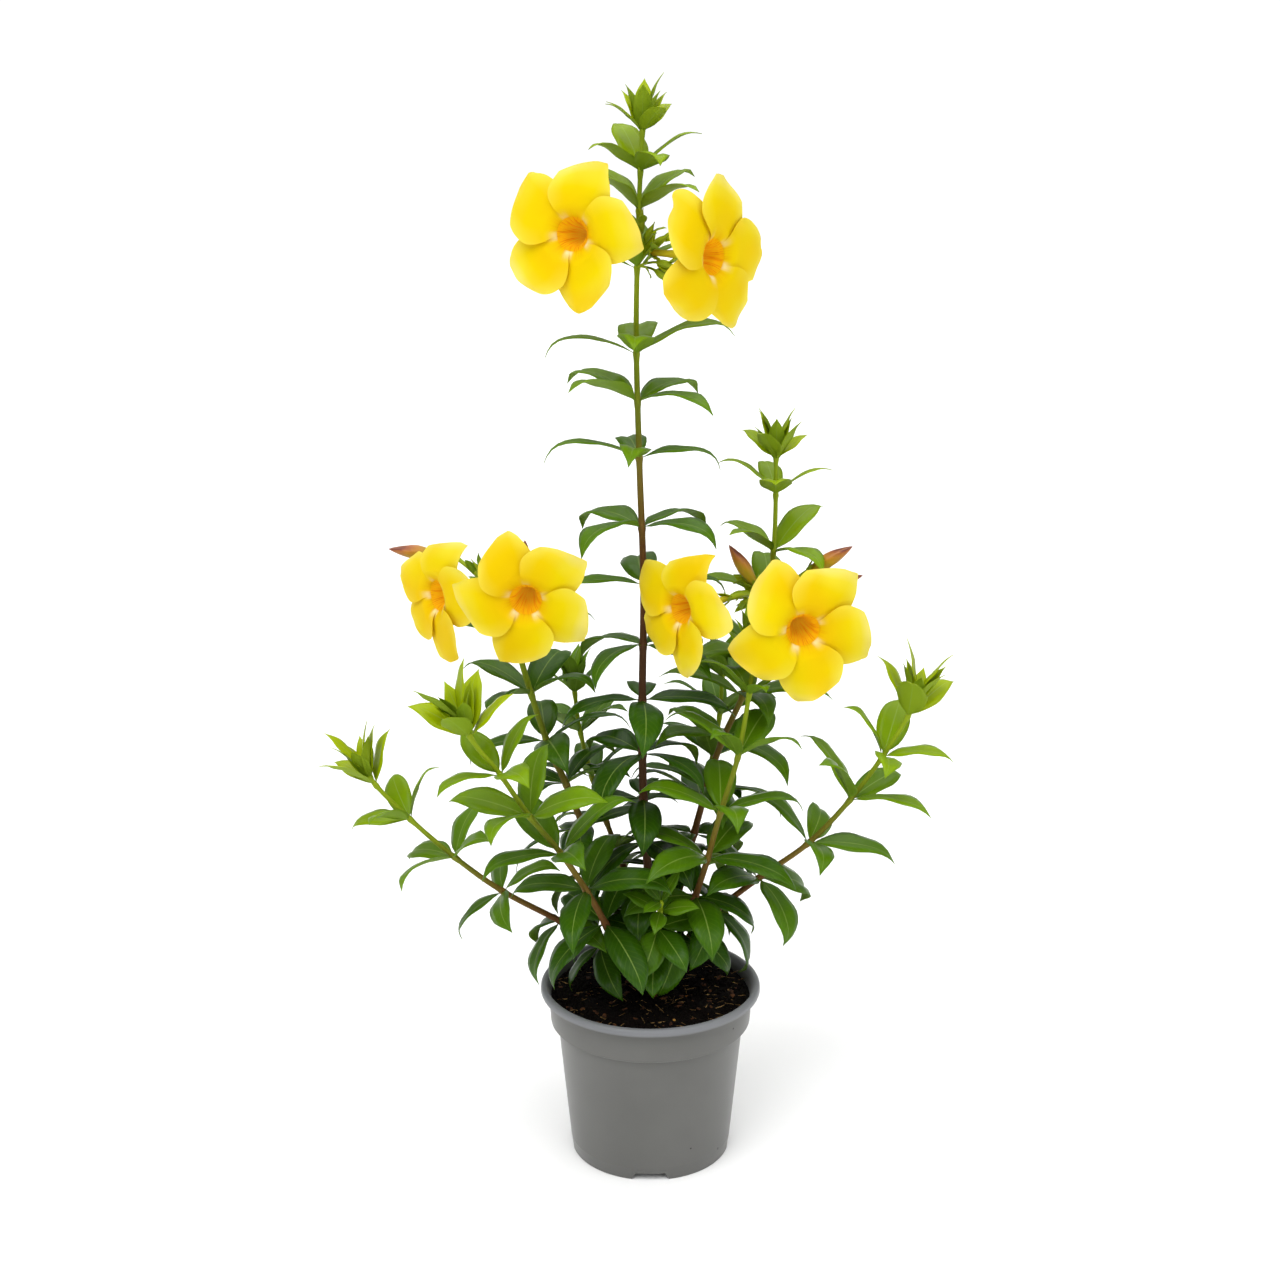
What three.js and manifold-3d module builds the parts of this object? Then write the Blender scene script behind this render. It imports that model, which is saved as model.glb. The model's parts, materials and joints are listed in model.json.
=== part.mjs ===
// A potted allamanda: a grey nursery pot, potting soil, four canes that fork into ten leafy stems in all,
// six open yellow blooms and their buds. Millimetres, +Z up, the origin under the middle of the pot.
import * as THREE from 'three';
import { mergeVertices } from 'three/addons/utils/BufferGeometryUtils.js';
import Module from 'manifold-3d';

const wasm = await Module();
wasm.setup();

// Driving dimensions

const GAP = 0.35; // between touching pieces
const POT = {
  height: 138,
  lipRadius: 85,
  lipHeight: 6,
  collarFoot: 108, // height of the step under the collar
  collarTop: 78.8,
  collarBottom: 77.3,
  bodyTop: 72,
  footRadius: 61.5,
  wall: 1.3,
  floor: 1.6,
  discRadius: 38, // the middle of the floor that stands on the ground
  channelHeight: 6, // the raised ring between the disc and the wall, where water drains
  slope: 3, // the run of the slope from the disc up to that ring
  slopeWall: 1.1, // how far the slope's upper face stands in from its lower one
  sides: 40,
};
const NOTCH = { count: 4, width: 30, height: 6.5, slope: 4 }; // cut-outs at the foot of the wall
const DRAIN = { count: 6, radius: 4.5, ring: 50 };
const SOIL = { top: 129, relief: 1.6, sides: 32, rings: [0, 20, 40, 60] };
const HOLE_DEPTH = 32; // how far a cane goes down into the soil

const LEAF = {
  slim: 0.172, // half width over length
  fold: 0.1, // rise of the edges over the half width
  keel: [1.7, 1.25, 1.0], // rib below the blade, from its foot to near its tip
  steps: 20, // steps of the rib's arch
  stations: [0, 3, 10, 16, 20], // the steps that carry a section
  grow: 1.2, // room past its edges
  margin: 1.8, // room over and under it
};
const PETAL = {
  length: 47, // along its rib, from inside the throat
  half: 25, // half the width of a petal
  throat: 11,
  funnel: 31, // depth of the funnel behind the face
  tube: 27, // the narrow tube behind the funnel
  tubeRadius: 2.3,
  thick: 1.0,
  tilt: 0.11, // how far one edge stands over the next petal, over the half width
  cup: 0.12,
  skew: 7, // how far the tip leans to one side
  steps: 20,
  along: [4, 10, 16, 20], // the steps that carry a section
  across: [-1, 0, 1],
};
const STALK = { radius: 1.4, cup: 2.3, sepal: 9.5, spread: 6.4, steps: 4 };
const BUD = {
  radius: 5.6,
  sides: 8,
  profile: [[0, 0], [0, 0.34], [0.18, 0.62], [0.42, 1], [0.64, 0.84], [0.88, 0.36], [1, 0]],
};
const STEM_STEP = 34; // the most between the rings of a stem
const PETIOLE = 1.5; // thickness of a leaf where it leaves its stem
const COLOURS = { pot: 0x8b8d90, soil: 0x2a1f18, leaf: 0x3f7a2c, petal: 0xf7d708, bud: 0xa8641f };

// Seeded draws, so that every run grows the same plant

let seed = 20260;
function draw() {
  seed = (seed * 1664525 + 1013904223) % 4294967296;
  return seed / 4294967296;
}
const spread = (amount) => (draw() * 2 - 1) * amount;

// The stems, each from its foot to its tip. A cane stands in the soil, and a branch forks off another
// stem at a height. The whorls are the heights of its rings of four leaves, from the tip down, each turned
// half a step from the last, but for one pair round the height where a stem is offbeat.

const STEMS = [
  {
    name: 'leader',
    foot: [2, -7],
    path: [
      [1, -2, 190], [-5, 0, 280], [-6, 0, 366], [-5, 0, 455],
      [-8, 0, 549], [-10, 0, 640], [-8, 0, 724], [-5, 0, 787],
    ],
    whorls: [786, 777, 750, 724, 684, 624, 590, 549, 498, 455, 409, 366, 324, 288, 254, 222, 192],
    phase: 4,
    offbeat: 650,
    length: 74,
    thick: 4.0,
  },
  {
    name: 'tall_right',
    foot: [13, 3],
    path: [[15, 12, 175], [41, 36, 274], [55, 42, 319], [81, 40, 386], [92, 38, 470], [93, 40, 550]],
    whorls: [549, 541, 514, 470, 434, 386, 356, 319, 282, 248, 216],
    phase: 2,
    length: 72,
    thick: 3.5,
  },
  {
    name: 'tall_left',
    foot: [-9, 2],
    path: [
      [-28, 18, 189], [-48, 30, 243], [-66, 38, 288], [-77, 40, 312],
      [-91, 40, 358], [-102, 36, 402], [-108, 30, 432],
    ],
    whorls: [398, 358, 320, 286, 252, 220, 190],
    phase: 10,
    length: 74,
    thick: 3.4,
    tuft: false,
  },
  {
    name: 'back_right',
    foot: [5, 13],
    path: [[18, 40, 180], [40, 78, 250], [54, 100, 310], [58, 110, 363]],
    whorls: [362, 350, 320, 288, 254, 222, 190],
    phase: 20,
    length: 74,
    thick: 3.0,
  },
  {
    name: 'front_right',
    from: 'tall_right',
    fork: 158,
    path: [
      [26, -18, 194], [40, -32, 243], [51, -40, 290],
      [64, -38, 335], [72, -30, 381], [77, -20, 415],
    ],
    whorls: [414, 404, 380, 335, 292, 254, 220, 190],
    phase: 12,
    length: 76,
    thick: 2.9,
  },
  {
    name: 'far_right',
    from: 'tall_right',
    fork: 146,
    path: [
      [38, -2, 186], [81, -6, 225], [119, -10, 256], [149, -14, 292],
      [172, -18, 328], [189, -20, 359], [196, -20, 377],
    ],
    whorls: [376, 360, 328, 292, 256, 226, 198],
    phase: -6,
    young: 1.3,
    length: 78,
    thick: 2.8,
  },
  {
    name: 'far_left',
    from: 'tall_left',
    fork: 146,
    path: [
      [-31, -8, 166], [-65, -14, 192], [-111, -20, 221], [-146, -24, 250],
      [-178, -28, 282], [-201, -30, 308], [-212, -30, 325],
    ],
    whorls: [324, 310, 282, 250, 221, 194, 172],
    phase: 0,
    young: 1.3,
    length: 72,
    thick: 2.8,
  },
  {
    name: 'front_left',
    from: 'tall_left',
    fork: 156,
    path: [
      [-26, -38, 188], [-43, -58, 231], [-64, -78, 275], [-86, -92, 310],
      [-106, -104, 347], [-120, -111, 368], [-131, -116, 390],
    ],
    whorls: [389, 376, 344, 308, 275, 240, 208],
    phase: 30,
    young: 1.3,
    length: 76,
    thick: 3.0,
  },
  {
    name: 'back_left',
    from: 'back_right',
    fork: 150,
    path: [[-16, 56, 196], [-40, 88, 250], [-56, 106, 304], [-62, 114, 349]],
    whorls: [348, 336, 304, 270, 238, 208],
    phase: 50,
    length: 74,
    thick: 2.6,
  },
  {
    name: 'low_front',
    from: 'leader',
    fork: 160,
    path: [[4, -30, 184], [6, -52, 208], [8, -70, 235]],
    whorls: [234, 224, 204, 186],
    phase: 40,
    length: 70,
    thick: 2.4,
  },
];

// The open blooms. Each stands on a stalk from a joint, which is a height on its stem. Its size is a share of
// the full one, and its yaw, pitch and roll in degrees turn it from facing -Y. Then come one value for each of
// its five petals: how far its tip leans aside in mm, the degrees that it curls back, and how far it twists, as
// the rise of one edge over the half width.
const BLOOMS = [
  {
    name: 'bloom_top_left',
    stem: 'leader',
    joint: 690,
    centre: [-54, -48, 712],
    size: 0.94,
    yaw: -22,
    pitch: 4,
    roll: 8,
    lean: [3, 2, 0, 0, -4],
    curl: [14, 20, 26, 18, 16],
    twist: [0, -0.06, 0.1, 0.04, 0],
  },
  {
    name: 'bloom_top_right',
    stem: 'leader',
    joint: 690,
    centre: [46, -43, 696],
    size: 1,
    yaw: 52,
    pitch: 0,
    roll: 4,
    lean: [0, 10, -2, -3, 12],
    curl: [10, 8, 50, 26, 12],
    twist: [0, -0.3, 0.06, 0.04, -0.12],
  },
  {
    name: 'bloom_far_left',
    stem: 'tall_left',
    joint: 428,
    centre: [-159, -2, 447],
    size: 0.92,
    yaw: -56,
    pitch: 0,
    roll: 10,
    lean: [6, -12, 15, -2, -2],
    curl: [46, 36, 12, 24, 28],
    twist: [0, 0, 0, 0, 0],
  },
  {
    name: 'bloom_left',
    stem: 'tall_left',
    joint: 430,
    centre: [-88, -62, 459],
    size: 0.92,
    yaw: -4,
    pitch: -8,
    roll: 51,
    lean: [2, -4, -3, 0, 2],
    curl: [20, 22, 32, 14, 28],
    twist: [0, 0, 0, 0, 0],
  },
  {
    name: 'bloom_middle',
    stem: 'tall_right',
    joint: 430,
    centre: [19, -50, 450],
    size: 0.87,
    yaw: -50,
    pitch: 0,
    roll: 12,
    lean: [2, -8, 8, -2, -12],
    curl: [42, 34, 16, 26, 24],
    twist: [0, 0.1, 0, 0, 0],
  },
  {
    name: 'bloom_right',
    stem: 'tall_right',
    joint: 434,
    centre: [110, -45, 432],
    size: 0.99,
    yaw: 10,
    pitch: -6,
    roll: -6,
    lean: [0, 2, -6, 0, 4],
    curl: [26, 18, 34, 18, 4],
    twist: [0, 0, 0, 0, 0],
  },
];

// The rolled yellow-brown buds, and the small green ones by their tips.
const BUDS = [
  { name: 'bud_far_left', stem: 'tall_left', joint: 426, base: [-160, 59, 463], tip: [-197, 46, 471] },
  { name: 'bud_left', stem: 'tall_left', joint: 422, base: [-96, 56, 444], tip: [-95, 58, 475] },
  { name: 'bud_middle', stem: 'tall_right', joint: 426, base: [79, 26, 447], tip: [58, 22, 480] },
  { name: 'bud_right', stem: 'tall_right', joint: 438, base: [116, 14, 461], tip: [148, 5, 483] },
  { name: 'bud_far_right', stem: 'tall_right', joint: 426, base: [121, 12, 448], tip: [156, 5, 461] },
];
const GREEN_BUDS = [
  {
    stem: 'leader',
    joint: 686,
    tips: [[-5, -18, 727], [3, -21, 718], [14, -30, 711], [19, -31, 688], [15, -27, 677]],
  },
  { stem: 'tall_right', joint: 432, tips: [[62, 24, 456], [60, 16, 444], [64, 20, 434]] },
  { stem: 'tall_left', joint: 430, tips: [[-139, 40, 462], [-134, 34, 466]] },
];

// Small helpers

const radians = THREE.MathUtils.degToRad;
const vec = (x, y, z) => new THREE.Vector3(x, y, z);
const UP = vec(0, 0, 1);
const smooth = (t) => {
  const s = Math.min(1, Math.max(0, t));
  return s * s * (3 - 2 * s);
};

// A closed mesh as a solid that can be joined and cut.
function solid(geometry) {
  geometry.deleteAttribute('normal');
  geometry.deleteAttribute('uv');
  const merged = mergeVertices(geometry, 1e-4);
  return new wasm.Manifold(
    new wasm.Mesh({
      numProp: 3,
      vertProperties: merged.attributes.position.array,
      triVerts: new Uint32Array(merged.index.array),
    }),
  );
}

// Points and triangles as a geometry.
function geometryFrom(points, triangles) {
  const geometry = new THREE.BufferGeometry().setFromPoints(points);
  geometry.setIndex(triangles.flat());
  return geometry;
}

function meshOf(name, made, color, roughness) {
  const { numProp, vertProperties, triVerts } = made.getMesh();
  const position = new THREE.BufferAttribute(new Float32Array(vertProperties), numProp);
  const geometry = new THREE.BufferGeometry().setAttribute('position', position);
  geometry.setIndex(new THREE.BufferAttribute(new Uint32Array(triVerts), 1));
  geometry.computeVertexNormals();
  const mesh = new THREE.Mesh(geometry, new THREE.MeshStandardMaterial({ color, roughness, metalness: 0 }));
  mesh.name = name;
  return mesh;
}

const joined = (solids) => wasm.Manifold.union(solids);

// A line of points along a smooth curve, with the length up to each of them.
function track(points) {
  const curve = new THREE.CatmullRomCurve3(points, false, 'catmullrom', 0.5);
  const line = curve.getPoints(12 * (points.length - 1));
  const reach = [0];
  for (let i = 1; i < line.length; i += 1) reach.push(reach[i - 1] + line[i].distanceTo(line[i - 1]));
  return { line, reach, length: reach[reach.length - 1] };
}

// The point and the direction at a distance along a track.
function along(road, distance) {
  let i = 1;
  while (i < road.line.length - 1 && road.reach[i] < distance) i += 1;
  const share = (distance - road.reach[i - 1]) / (road.reach[i] - road.reach[i - 1]);
  const point = road.line[i - 1].clone().lerp(road.line[i], share);
  const heading = road.line[i].clone().sub(road.line[i - 1]).normalize();
  return { point, heading };
}

// The distance along a track at which it first reaches a height.
function distanceAtHeight(road, height) {
  let i = 1;
  while (i < road.line.length - 1 && road.line[i].z < height) i += 1;
  const share = (height - road.line[i - 1].z) / (road.line[i].z - road.line[i - 1].z);
  return road.reach[i - 1] + share * (road.reach[i] - road.reach[i - 1]);
}

// Two directions square to a heading: the first lies towards +X, the second towards +Y.
function squareTo(heading) {
  const first = vec(1, 0, 0).addScaledVector(heading, -heading.x).normalize();
  return { first, second: heading.clone().cross(first) };
}

// A direction turned by an angle towards another one square to it.
function turnedTowards(from, towards, angle) {
  return from.clone().multiplyScalar(Math.cos(angle)).addScaledVector(towards, Math.sin(angle));
}

// A round rod that follows a track, with its radius as a function of the share of its length.
function rod(road, radiusAt, sides, steps) {
  const geometry = new THREE.CylinderGeometry(1, 1, 1, sides, steps);
  const position = geometry.attributes.position;
  for (let i = 0; i < position.count; i += 1) {
    const share = position.getY(i) + 0.5;
    const { point, heading } = along(road, share * road.length);
    const { first, second } = squareTo(heading);
    point.addScaledVector(first, position.getZ(i) * radiusAt(share));
    point.addScaledVector(second, position.getX(i) * radiusAt(share));
    position.setXYZ(i, point.x, point.y, point.z);
  }
  return solid(geometry);
}

// Leaves

// The half width of a leaf at a share of its length, over its widest.
function leafOutline(t) {
  const u = Math.max(0, (t - 0.05) / 0.95);
  return 0.07 + 0.93 * Math.sin(Math.PI * u ** 0.9) ** 0.85 * (1 - 0.35 * u ** 4);
}

// The rib of a leaf: it starts along its own direction, arches over and hooks down at the tip.
function leafRib(leaf) {
  const point = leaf.root.clone();
  const rib = [];
  for (let i = 0; i <= LEAF.steps; i += 1) {
    const t = i / LEAF.steps;
    const bend = radians(leaf.droop * t * (0.6 + 0.4 * t) + leaf.hook * smooth((t - 0.72) / 0.28));
    const heading = turnedTowards(leaf.heading, leaf.face, -bend);
    const normal = turnedTowards(leaf.face, leaf.heading, bend);
    if (i > 0) point.addScaledVector(heading, leaf.length / LEAF.steps);
    const half = leaf.length * LEAF.slim * leaf.width * leafOutline(t);
    rib.push({ point: point.clone(), normal, half: i === LEAF.steps ? 0 : half });
  }
  return rib;
}

// The rib, left edge and right edge of each section of a leaf, grown outwards by a margin and lifted off
// its face.
function leafSections(leaf, grow, lift) {
  const side = leaf.heading.clone().cross(leaf.face);
  const rib = leafRib(leaf);
  return LEAF.stations.map((step) => {
    const { point, normal, half } = rib[step];
    const wide = half + grow;
    const middle = point.clone().addScaledVector(normal, lift);
    const raised = middle.clone().addScaledVector(normal, wide * LEAF.fold);
    return {
      middle,
      normal,
      left: raised.clone().addScaledVector(side, -wide),
      right: raised.clone().addScaledVector(side, wide),
    };
  });
}

// Adds a leaf to a stem's skin. It grows out of one facet, whose corners are given from the lower left round
// to the upper left, and it has two edges and a keel a section, and one point at its tip.
function addLeaf(points, triangles, leaf, [a, b, c, d]) {
  const sections = leafSections(leaf, 0, 0);
  const last = sections.length - 1;
  const first = points.length;
  sections.slice(1, last).forEach(({ middle, normal, left, right }, i) => {
    points.push(right, middle.clone().addScaledVector(normal, -LEAF.keel[i]), left);
  });
  const tip = points.push(sections[last].middle) - 1;
  const [right, keel, left] = [first, first + 1, first + 2];
  triangles.push([a, right, d], [a, keel, right], [a, b, keel], [b, left, keel], [b, c, left]);
  triangles.push([c, d, right], [c, right, left]);
  for (let p = first; p < tip - 3; p += 3) {
    [[0, 1], [1, 2], [2, 0]].forEach(([from, to]) => {
      triangles.push([p + from, p + to, p + 3 + to], [p + from, p + 3 + to, p + 3 + from]);
    });
  }
  triangles.push([tip - 3, tip - 2, tip], [tip - 2, tip - 1, tip], [tip - 1, tip - 3, tip]);
}

// A stem of eight facets as one closed skin, thicker all round by an extra. Where its leaves are wanted, each
// grows out of the facet that it stands on, between two rings close together.
function stemSolid(owner, extra, leafy) {
  const { stem, road, radiusAt } = owner;
  const stops = [-extra];
  const upTo = (distance) => {
    const from = stops[stops.length - 1];
    const count = Math.ceil((distance - from) / STEM_STEP);
    for (let i = 1; i <= count; i += 1) stops.push(from + ((distance - from) * i) / count);
  };
  const facets = new Map();
  owner.whorls.toReversed().forEach(({ distance, leaves }) => {
    upTo(distance - PETIOLE / 2);
    if (leafy) leaves.forEach(({ leaf, facet }) => facets.set(8 * (stops.length - 1) + facet, leaf));
    upTo(distance + PETIOLE / 2);
  });
  upTo(road.length);
  const points = stops.flatMap((distance) => {
    const { point, heading } = along(road, distance);
    const { first, second } = squareTo(heading);
    const radius = radiusAt(Math.max(0, distance / road.length)) + extra;
    return Array.from({ length: 8 }, (_, j) => {
      const turn = radians(stem.phase + 22.5 + 45 * j);
      const arm = first.clone().multiplyScalar(Math.cos(turn)).addScaledVector(second, Math.sin(turn));
      return point.clone().addScaledVector(arm, radius);
    });
  });
  const top = points.length - 8;
  const foot = points.push(along(road, stops[0]).point) - 1;
  const tip = points.push(along(road, road.length).point) - 1;
  const triangles = [];
  for (let facet = 0; facet < 8; facet += 1) {
    const before = (facet + 7) % 8;
    triangles.push([foot, facet, before], [tip, top + before, top + facet]);
    for (let ring = 0; ring < stops.length - 1; ring += 1) {
      const [a, b] = [8 * ring + before, 8 * ring + facet];
      const leaf = facets.get(8 * ring + facet);
      if (leaf) addLeaf(points, triangles, leaf, [a, b, b + 8, a + 8]);
      else triangles.push([a, b, b + 8], [a, b + 8, a + 8]);
    }
  }
  return solid(geometryFrom(points, triangles));
}

// Room between pieces: a sheet is a set of triangles with their edges, and a rod is a line with a radius

function sheet(triangles) {
  const box = new THREE.Box3();
  triangles.forEach((corners) => corners.forEach((corner) => box.expandByPoint(corner)));
  const edges = triangles.flatMap(([a, b, c]) => [[a, b], [b, c], [c, a]]);
  return { triangles, edges, box };
}

// A leaf as a sheet, whole or without the stretch next to its stem.
function leafSheet(leaf, lift, from = 0) {
  const sections = leafSections(leaf, LEAF.grow, lift).slice(from);
  return sheet(rowTriangles(sections.map(({ left, middle, right }) => [left, middle, right])));
}

// The triangles between rows of points.
function rowTriangles(rows) {
  const triangles = [];
  for (let i = 0; i < rows.length - 1; i += 1) {
    for (let j = 0; j < rows[0].length - 1; j += 1) {
      const far = rows[i + 1][j + 1];
      triangles.push([rows[i][j], rows[i + 1][j], far], [rows[i][j], far, rows[i][j + 1]]);
    }
  }
  return triangles;
}

// True if the edge runs through the triangle.
function pierces([from, to], [a, b, c]) {
  const run = to.clone().sub(from);
  const ab = b.clone().sub(a);
  const ac = c.clone().sub(a);
  const p = run.clone().cross(ac);
  const det = ab.dot(p);
  if (Math.abs(det) < 1e-9) return false;
  const s = from.clone().sub(a);
  const u = s.dot(p) / det;
  if (u < 0 || u > 1) return false;
  const q = s.cross(ab);
  const v = run.dot(q) / det;
  if (v < 0 || u + v > 1) return false;
  const t = ac.dot(q) / det;
  return t >= 0 && t <= 1;
}

function sheetsCross(one, other) {
  if (!one.box.intersectsBox(other.box)) return false;
  return (
    one.edges.some((edge) => other.triangles.some((triangle) => pierces(edge, triangle))) ||
    other.edges.some((edge) => one.triangles.some((triangle) => pierces(edge, triangle)))
  );
}

// The least distance between two edges.
function edgeDistance([p, q], [r, s]) {
  const d1 = q.clone().sub(p);
  const d2 = s.clone().sub(r);
  const w = p.clone().sub(r);
  const a = d1.dot(d1);
  const b = d1.dot(d2);
  const c = d2.dot(d2);
  const d = d1.dot(w);
  const e = d2.dot(w);
  const det = a * c - b * b;
  let first = det > 1e-9 ? Math.min(1, Math.max(0, (b * e - c * d) / det)) : 0;
  const second = Math.min(1, Math.max(0, (b * first + e) / c));
  first = Math.min(1, Math.max(0, (b * second - d) / a));
  return w.addScaledVector(d1, first).addScaledVector(d2, -second).length();
}

// A rod as straight stretches, each with its radius and a box.
function stretches(road, radiusAt, steps) {
  return Array.from({ length: steps }, (_, i) => {
    const edge = [i, i + 1].map((k) => along(road, (road.length * k) / steps).point);
    const radius = radiusAt((i + 0.5) / steps);
    const box = new THREE.Box3().setFromPoints(edge).expandByScalar(radius + LEAF.margin);
    return { edge, radius, box };
  });
}

function sheetMeetsRod(one, stretch) {
  if (!one.box.intersectsBox(stretch.box)) return false;
  return (
    one.edges.some((edge) => edgeDistance(edge, stretch.edge) < stretch.radius + LEAF.margin) ||
    one.triangles.some((triangle) => pierces(stretch.edge, triangle))
  );
}

// True where a point is in the pot, its soil or its rim.
function inPot(point) {
  const reach = Math.hypot(point.x, point.y);
  if (reach < POT.lipRadius - 11) return point.z < SOIL.top + 4;
  return reach < POT.lipRadius + 3 && point.z < POT.height + 3;
}

// Growing the plant: the tracks of the stems, then the blooms, then the leaves round them

const grown = new Map();

function growStem(stem) {
  const parent = stem.from && grown.get(stem.from);
  const start = parent
    ? along(parent.road, distanceAtHeight(parent.road, stem.fork)).point
    : vec(stem.foot[0], stem.foot[1], SOIL.top - HOLE_DEPTH);
  const rest = stem.path.map((point) => vec(...point));
  const first = parent ? [start] : [start, vec(stem.foot[0], stem.foot[1], SOIL.top + 6)];
  const road = track([...first, ...rest]);
  const tipRadius = stem.tuft === false ? 2.2 : 1.6;
  const radiusAt = (share) => THREE.MathUtils.lerp(stem.thick, tipRadius, share ** 0.8);
  grown.set(stem.name, { stem, parent, road, radiusAt, whorls: [], greens: [] });
}

// Blooms. A bloom's own frame has its origin in the mouth of its throat, X to the right and Y up for someone
// who looks into it, and Z along its axis, out of the flower.

function bloomFrame(bloom) {
  const yaw = radians(bloom.yaw);
  const pitch = radians(bloom.pitch);
  const out = vec(Math.sin(yaw) * Math.cos(pitch), -Math.cos(yaw) * Math.cos(pitch), Math.sin(pitch));
  const right = UP.clone().cross(out).normalize();
  const frame = new THREE.Matrix4().makeBasis(right, out.clone().cross(right), out);
  return frame.scale(vec(bloom.size, bloom.size, bloom.size)).setPosition(...bloom.centre);
}

// The rib of a petal in the plane of its radius and the bloom's axis: it leaves the throat steeply, lies down
// across the face and then curls back.
function petalRib(curl) {
  let radius = PETAL.throat - 1;
  let height = -6;
  const rib = [];
  for (let i = 0; i <= PETAL.steps; i += 1) {
    const t = i / PETAL.steps;
    const angle = radians(28 + 60 * smooth(t / 0.3) + curl * t * t);
    if (i > 0) {
      radius += (Math.sin(angle) * PETAL.length) / PETAL.steps;
      height += (Math.cos(angle) * PETAL.length) / PETAL.steps;
    }
    rib.push({ radius, height, angle });
  }
  return rib;
}

// The half width of a petal at a share of its length. Next to the throat it keeps to its own fifth of the
// ring.
function petalHalf(t, radius) {
  const narrow = 0.3 + 0.7 * smooth(t / 0.55);
  const round = Math.sqrt(1 - (Math.max(0, t - 0.62) / 0.4) ** 2);
  const room = 0.6 + smooth((t - 0.2) / 0.3);
  return Math.min(PETAL.half * narrow * round, radius * room);
}

// A point of a petal, at a step of its rib and a share of its width, and off its middle surface by a lift.
function petalPoint(rib, petal, step, across, lift) {
  const { radius, height, angle } = rib[step];
  const t = step / PETAL.steps;
  const half = petalHalf(t, radius) * across;
  const wrap = 1 - smooth(t / 0.75);
  const slope = PETAL.tilt * smooth(t / 0.3) + petal.twist * smooth((t - 0.2) / 0.6);
  const off = slope * half - PETAL.cup * t * half * across;
  return vec(
    radius * (1 - (1 - Math.cos(half / radius)) * wrap) - Math.cos(angle) * lift,
    half - PETAL.skew * t ** 3 + petal.lean * t ** 2,
    height + off + Math.sin(angle) * lift,
  ).applyAxisAngle(vec(0, 0, 1), radians(petal.azimuth));
}

// The sections of a petal past the mouth of the funnel.
function petalRows(petal, lift) {
  const rib = petalRib(petal.curl);
  const rowAt = (step) => PETAL.across.map((across) => petalPoint(rib, petal, step, across, lift));
  return PETAL.along.map(rowAt);
}

function bloomPetals(bloom) {
  return bloom.curl.map((curl, k) => {
    return { azimuth: bloom.roll + 72 * k, curl, lean: bloom.lean[k], twist: bloom.twist[k] };
  });
}

// A ring of the funnel: two points for each petal, on its middle and on the seam to the next.
function funnelRing(bloom, radius, height) {
  return Array.from({ length: 10 }, (_, j) => {
    const turn = radians(bloom.roll + 36 * j);
    return vec(radius * Math.cos(turn), radius * Math.sin(turn), height);
  });
}

// The whole flower as one closed skin: the tube and the funnel outside, the petals' backs, rims and fronts,
// and the funnel inside.
function bloomSolid(bloom) {
  const points = [];
  const triangles = [];
  const add = (more) => more.map((point) => points.push(point) - 1);
  const [mouth] = petalRib(0);
  const mouthRing = (lift) => {
    const radius = mouth.radius - Math.cos(mouth.angle) * lift;
    return add(funnelRing(bloom, radius, mouth.height + Math.sin(mouth.angle) * lift));
  };
  const back = -PETAL.thick / 2;
  const outer = [
    add(funnelRing(bloom, PETAL.tubeRadius, -PETAL.funnel - PETAL.tube)),
    add(funnelRing(bloom, PETAL.tubeRadius + 0.2, -PETAL.funnel - 2)),
    add(funnelRing(bloom, PETAL.throat - 4.3, -PETAL.funnel + 9)),
    mouthRing(back),
  ];
  const inner = [add(funnelRing(bloom, PETAL.throat - 5.5, -PETAL.funnel + 9.5)), mouthRing(-back)];
  const [foot, deep] = add([vec(0, 0, -PETAL.funnel - PETAL.tube), vec(0, 0, -PETAL.funnel + 1)]);
  const ringTriangles = (a, b, flip) => {
    a.forEach((from, j) => {
      const next = (j + 1) % a.length;
      const both = [[from, a[next], b[next]], [from, b[next], b[j]]];
      triangles.push(...both.map(([p, q, r]) => (flip ? [p, r, q] : [p, q, r])));
    });
  };
  for (let i = 0; i < outer.length - 1; i += 1) ringTriangles(outer[i], outer[i + 1], false);
  ringTriangles(inner[0], inner[1], true);
  outer[0].forEach((a, j) => triangles.push([foot, outer[0][(j + 1) % 10], a]));
  inner[0].forEach((a, j) => triangles.push([deep, a, inner[0][(j + 1) % 10]]));
  bloomPetals(bloom).forEach((petal, k) => {
    const edge = [9, 0, 1].map((j) => (j + 2 * k) % 10);
    const front = [edge.map((j) => inner[1][j]), ...petalRows(petal, -back).map(add)];
    const rear = [edge.map((j) => outer[3][j]), ...petalRows(petal, back).map(add)];
    triangles.push(...petalSkin(front, rear));
  });
  return solid(geometryFrom(points, triangles)).transform(bloomFrame(bloom).toArray());
}

// The triangles of a petal's front, back and rim, from the numbers of its points in rows.
function petalSkin(front, rear) {
  const last = front.length - 1;
  const side = front[0].length - 1;
  const triangles = [];
  const quad = (a, b, c, d) => triangles.push([a, b, c], [a, c, d]);
  for (let i = 0; i < last; i += 1) {
    for (let j = 0; j < side; j += 1) {
      quad(front[i][j], front[i + 1][j], front[i + 1][j + 1], front[i][j + 1]);
      quad(rear[i][j + 1], rear[i + 1][j + 1], rear[i + 1][j], rear[i][j]);
    }
    quad(front[i][0], rear[i][0], rear[i + 1][0], front[i + 1][0]);
    quad(front[i][side], front[i + 1][side], rear[i + 1][side], rear[i][side]);
  }
  for (let j = 0; j < side; j += 1) {
    quad(front[last][j], rear[last][j], rear[last][j + 1], front[last][j + 1]);
  }
  return triangles;
}

// Flower stalks and buds

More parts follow.
